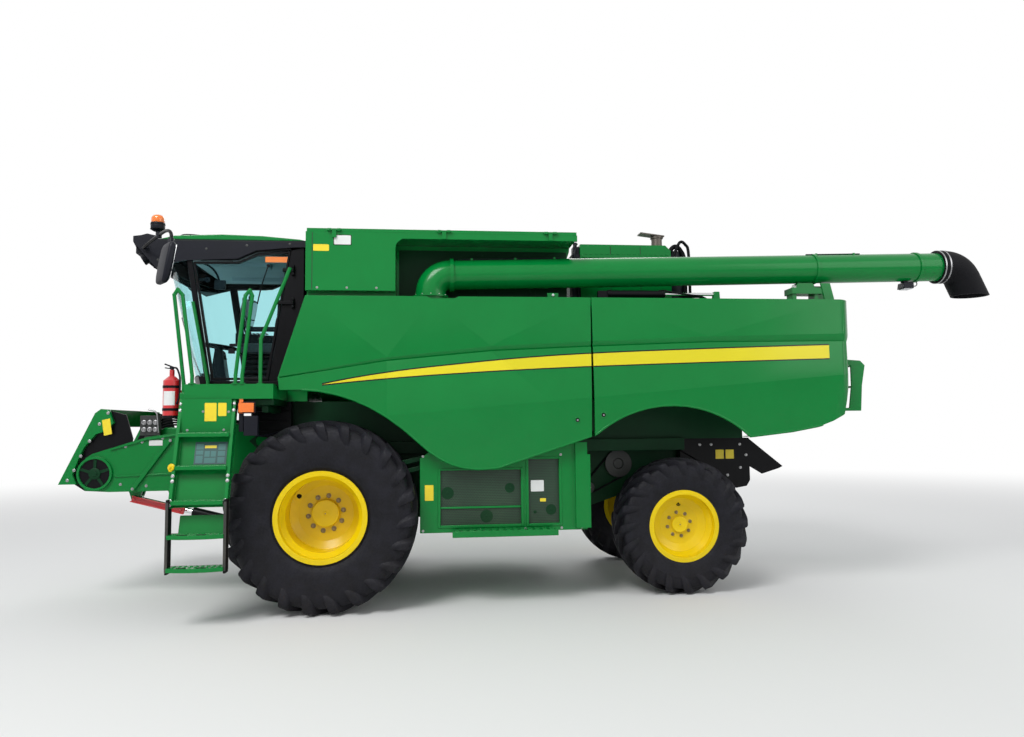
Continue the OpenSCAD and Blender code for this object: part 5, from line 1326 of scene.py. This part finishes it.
def ladder_details():
    for n, (x0, z0, x1, z1) in enumerate(((-1030, 1800, -926, 1966), (-912, 1846, -838, 1966))):
        Shape().prism(rounded(x0, z0, x1, z1, 7), "xz", -1647, -1644).make("ladder_plate_%d" % n, "yellow_sticker")
    on_back(-1104, 1412, -822, 1612, 0.5, 2).make("ladder_chart", "grey_sticker")
    # Plain fields on the chart: corner, width and height
    fields = Shape()
    for x, z, w, h in ((-1092, 1545, 62, 50), (-1092, 1500, 62, 36), (-1092, 1424, 62, 66), (-1016, 1480, 44, 50),
                       (-962, 1480, 44, 50), (-1016, 1424, 98, 46), (-900, 1540, 62, 54), (-900, 1486, 62, 44),
                       (-900, 1424, 62, 52)):
        p = on_back(x, z, x + w, z + h, 2.5, 1)
        fields.add(p.verts, p.faces)
    fields.make("ladder_chart_fields", "pale_green")
    on_back(-1018, 1556, -916, 1580, 2.5, 1).make("ladder_chart_head", "yellow_sticker")
    places = [(x, -1644, z) for x, z in ((-1044, 1888), (-820, 1884), (-1180, 1720), (-860, 1720))]
    s = Shape().bolts(places, (0, -1, 0), 8, 6)
    for x in (-1250, -780):
        for z in (1316, 1272, 1105, 1070, 1960, 1900):
            s.bolt((x, ladder_y(z) + 1, z), (0, -1, 0.29), 11, 9)
    s.make("ladder_bolts", "bare_steel")
    # Yellow catch on the left rail
    y = ladder_y(1392)
    s = Shape().lathe([(0, 34), (10, 34), (16, 26), (16, 12), (34, 10), (34, 0)],
                      (-1268, y + 4, 1392), (-0.3, -1, 0.2), 20)
    s.box((-1290, y - 12, 1356), (-1262, y + 10, 1386)).make("ladder_catch", "yellow_paint", bevel=3)
    # Rubber straps that hang the lower steps, with their steel edges
    y = ladder_y(1060)
    straps, edges = Shape(), Shape()
    for x in (-1265, -777):
        straps.box((x - 5, y - 34, 478), (x + 17, y + 64, 1118))
        for dy in (-34, 60):
            edges.box((x - 6, y + dy - 2, 500), (x + 18, y + dy + 4, 1096))
    straps.make("step_straps", "black_rubber", bevel=4)
    edges.make("strap_edges", "dark_steel", bevel=1)
    # Raised grip rings on every step
    s = Shape()
    for z in (1678, 1387, 1088):
        for x in range(-1205, -773, 48):
            s.grip((x, ladder_y(z) + 6, z + 18)).grip((x + 24, ladder_y(z) + 44, z + 18))
    for z in HANGING_STEPS:
        for x in range(-1205, -773, 48):
            s.grip((x, y - 30, z + 18)).grip((x, y + 30, z + 18))
    s.make("step_grips", "green_paint", smooth=50)
    s = Shape()
    for x in (-1120, -960):
        for z in HANGING_STEPS:
            s.prism(rounded(x - 40, y - 74, x + 40, y - 52, 8), "xy", z + 18, z + 21)
    s.make("step_pads", "black_rubber")
    # Flanges at the rails' feet
    s = Shape()
    for px, py in ((-1160, -1600), (-775, -1600), (-715, -1600), (-1203, -930), (-560, -1560)):
        s.lathe([(0, 34), (8, 34), (12, 24), (12, 17)], (px, py, PLATFORM_Z), UP, 20)
    s.make("rail_flanges", "green_paint")
    s = Shape()
    for x in range(-1130, -428, 78):
        for y in range(-1540, -924, 88):
            s.grip((x, y, PLATFORM_Z), 12)
    s.make("deck_grips", "green_paint", smooth=50)
    # Marker lamp: housing, cable, the box under it, and the lens's ribs
    s = Shape().prism(rounded(-748, 1868, -588, 1977, 12), "xz", -1612, -1604)
    s.box((-690, -1626, 1664), (-566, -1560, 1846)).box((-740, -1600, 1700), (-700, -1570, 2000))
    s.tube([(-720, -1590, 1880), (-700, -1575, 1800), (-640, -1570, 1700), (-560, -1500, 1660),
            (-420, -1200, 1700)], 8, 8, 6)
    s.make("marker_housing", "black_plastic", bevel=4)
    s = Shape()
    for x in range(-724, -604, 12):
        s.box((x, -1641.5, 1888), (x + 5, -1639.5, 1957))
    s.make("marker_ribs", "amber_lens", bevel=0.8)


def under_deck():
    # Battery box and cable tray behind the ladder, under the platform
    s = Shape().prism([(-800, 1660), (-402, 1600), (-402, 2004), (-800, 2004)], "xz", -832, -655)
    for z in (1700, 1800, 1900):
        s.box((-784, -838, z), (-410, -830, z + 14))
    s.make("battery_box", "black_paint", bevel=8)
    s = Shape().box((-780, -1540, 1946), (-440, -832, 2002)).box((-560, -1480, 1880), (-500, -832, 1946))
    s.make("deck_tray", "dark_green_paint", bevel=5)


def extinguisher_details():
    x, y = -1375, -1480
    s = Shape().rod((x, y, 2278), (x, y, 2312), 16, 14).box((x - 20, y - 12, 2290), (x + 12, y + 12, 2310))
    for lever in ([(x - 70, 2330), (x + 20, 2296), (x + 26, 2306), (x - 64, 2342)],
                  [(x - 66, 2296), (x + 10, 2284), (x + 10, 2292), (x - 62, 2306)]):
        s.prism(lever, "xz", y - 8, y + 8)
    s.tube([(x + 12, y, 2300), (x + 50, y - 20, 2290), (x + 84, y - 40, 2200), (x + 82, y - 42, 2040),
            (x + 60, y - 50, 1960)], 9, 10, 6)
    s.make("extinguisher_valve", "black_plastic", bevel=2)
    s = Shape()
    for z in (1900, 2110):
        s.band((x, y, z), UP, 75, 78, 24)
    s.lathe([(-4, 60), (-4, 79), (22, 79), (22, 75)], (x, y, 1834), UP, 40).make("extinguisher_straps", "black_rubber")
    # White field: a thin curved sheet round the bottle
    turns = [(76, 225 + 6 * i) for i in range(15)] + [(75.2, 309 - 6 * i) for i in range(15)]
    rings = [[(x + r * math.cos(math.radians(a)), y + r * math.sin(math.radians(a)), z) for r, a in turns]
            for z in (1950, 2080)]
    Shape().skin(rings).make("extinguisher_field", "white_sticker")


# ---------------------------------------------------------------- feeder
DRUM = (-2345, 1292)


def feeder_details():
    dx, dz = DRUM
    at_drum = lambda r, a: (dx + r * math.cos(a), dz + r * math.sin(a))
    for side, hand in SIDES:
        out = (0, side, 0)
        # Drum's end: black disc as painted shade of its recess, hub, spokes and bolts
        s = Shape().lathe([(0, 146), (1, 146), (1, 0)], (dx, side * 708, dz), out, 48)
        s.make("drum_recess_shade_" + hand, "black_paint", "feeder")
        s = Shape().lathe([(0, 58), (12, 58), (16, 50), (16, 30), (22, 28), (22, 0)], (dx, side * 708, dz), out, 32)
        for i in range(5):
            a = 2 * math.pi * i / 5 + 0.3
            s.on_side([at_drum(30, a - 0.5), at_drum(144, a - 0.1), at_drum(144, a + 0.1), at_drum(30, a + 0.5)],
                      side, 709, 716)
        s.make("drum_hub_" + hand, "dark_green_paint", "feeder", bevel=2)
        # Strap across the side, pressed ribs, plates and bolts
        s = Shape().on_side([(-1632, 1640), (-1598, 1624), (-1962, 1114), (-1996, 1130)], side, 718, 730)
        s.make("feeder_strap_" + hand, "green_paint", "feeder", bevel=3)
        s = Shape().on_side([(-2156, 1252), (-1610, 1270), (-1610, 1288), (-2156, 1270)], side, FEEDER_Y, 712)
        s.on_side([(-1540, 1240), (-860, 1300), (-860, 1318), (-1540, 1258)], side, FEEDER_Y, 710)
        s.on_side([(-2200, 1540), (-1850, 1642), (-1500, 1688), (-1000, 1752), (-1000, 1734), (-1500, 1670),
                   (-1850, 1622), (-2200, 1520)], side, FEEDER_Y, 716)
        s.make("feeder_ribs_" + hand, "green_paint", "feeder", bevel=4)
        s = Shape().on_side(rounded(-1832, 1566, -1700, 1620, 6), side, FEEDER_Y, FEEDER_Y + 2)
        s.make("feeder_plate_" + hand, "white_sticker", "feeder")
        s = Shape().on_side([(-2276, 1828), (-2200, 1846), (-2176, 1690), (-2252, 1672)], side, CHEEK_Y, CHEEK_Y + 2)
        s.make("cheek_plate_" + hand, "yellow_sticker", "feeder")
        s = Shape()
        for y, r, h, places in (
                (730, 10, 8, ((-1616, 1616), (-1974, 1134))),
                (FEEDER_Y, 10, 8, ((-2060, 1560), (-1900, 1604), (-1700, 1640), (-1450, 1660), (-1250, 1690),
                                   (-2100, 1180), (-1850, 1160), (-1600, 1150))),
                (CHEEK_Y, 11, 9, ((-2590, 1230), (-2530, 1330), (-2470, 1470), (-2390, 1620), (-2300, 1790),
                                  (-2220, 1900)))):
            s.bolts([(x, side * y, z) for x, z in places], out, r, h)
        s.make("feeder_bolts_" + hand, "bare_steel", "feeder")
        # Red safety stop that hangs from the feeder beside the lift cylinder
        s = Shape()
        for y, line in ((629, [(-2004, 1062), (-1484, 924), (-1500, 862), (-2020, 1000)]),
                        (664, [(-2004, 1062), (-1484, 924), (-1486, 917), (-2006, 1055)]),
                        (664, [(-2018, 1007), (-1498, 869), (-1500, 862), (-2020, 1000)])):
            s.prism(line, "xz", *sorted((side * 622, side * y)))
        for x, z in ((-1990, 1028), (-1530, 906)):
            s.rod((x, side * 600, z), (x, side * 640, z), 13, 14)
        s.make("safety_stop_" + hand, "red_paint", "feeder", bevel=2)
    # Chain slats that show in the throat's mouth
    s = Shape()
    for x in range(-2200, -800, 200):
        z = 1150 + (x + 2200) * 0.05
        s.box((x, -640, z), (x + 34, 640, z + 26)).box((x + 60, -640, z + 400), (x + 94, 640, z + 426))
    for y in (-600, -200, 200, 600):
        for z0, z1 in ((1170, 1244), (1540, 1640)):
            s.tube([(-2240, y, z0), (-800, y, z1)], 13, 8)
    s.make("feeder_chain", "dark_steel", "feeder", bevel=2)
    # Multi-coupler on the left, with its lever, sockets and pipes
    s = Shape().box((-1940, -660, 1668), (-1740, -640, 1872)).box((-1930, -640, 1700), (-1760, -560, 1850))
    s.prism([(-1900, 1640), (-1780, 1640), (-1790, 1700), (-1890, 1700)], "xz", -650, -560)
    s.make("coupler_block", "dark_steel", "feeder", bevel=4)
    s = Shape()
    for x in (-1896, -1840, -1784):
        for z in (1730, 1802):
            s.lathe([(0, 24), (18, 24), (20, 18), (34, 18), (34, 10), (24, 10), (24, 0)], (x, -660, z), (0, -1, 0), 18)
    s.tube([(-1752, -670, 1700), (-1752, -690, 1780), (-1770, -692, 1900), (-1850, -692, 1935)], 9, 10, 5)
    s.make("coupler_sockets", "bare_steel", "feeder")
    s = Shape()
    for i in range(5):
        s.tube([(-1770 + 4 * i, -600 + 16 * i, 1840 - 22 * i), (-1660, -600 + 20 * i, 1880 - 26 * i),
                (-1400, -590 + 22 * i, 1800 - 8 * i), (-1100, -560 + 24 * i, 1810 - 4 * i),
                (-860, -500 + 26 * i, 1806)], 10, 8, 5)
    s.make("coupler_pipes", "black_rubber", "feeder")
    # Cover over the drive on the feeder's top
    s = Shape().prism([(-1780, 1660), (-1780, 1722), (-1720, 1748), (-1600, 1748), (-1560, 1730), (-1560, 1690)],
                      "xz", -560, -300)
    s.make("feeder_top_cover", "green_paint", "feeder", bevel=8)
    # Cross shaft across the feeder's top, in bearings
    s = Shape().rod((-1120, -690, 1784), (-1120, 690, 1784), 22, 16)
    for y in (-640, 0, 640):
        s.box((-1170, y - 30, 1740), (-1070, y + 30, 1810))
    s.make("feeder_cross_shaft", "dark_green_paint", "feeder", bevel=4)


cab_body()
door()
mirrors()
visor_details()
cab_fittings()
under_deck()
seat()
ladder_details()
extinguisher_details()
feeder_details()
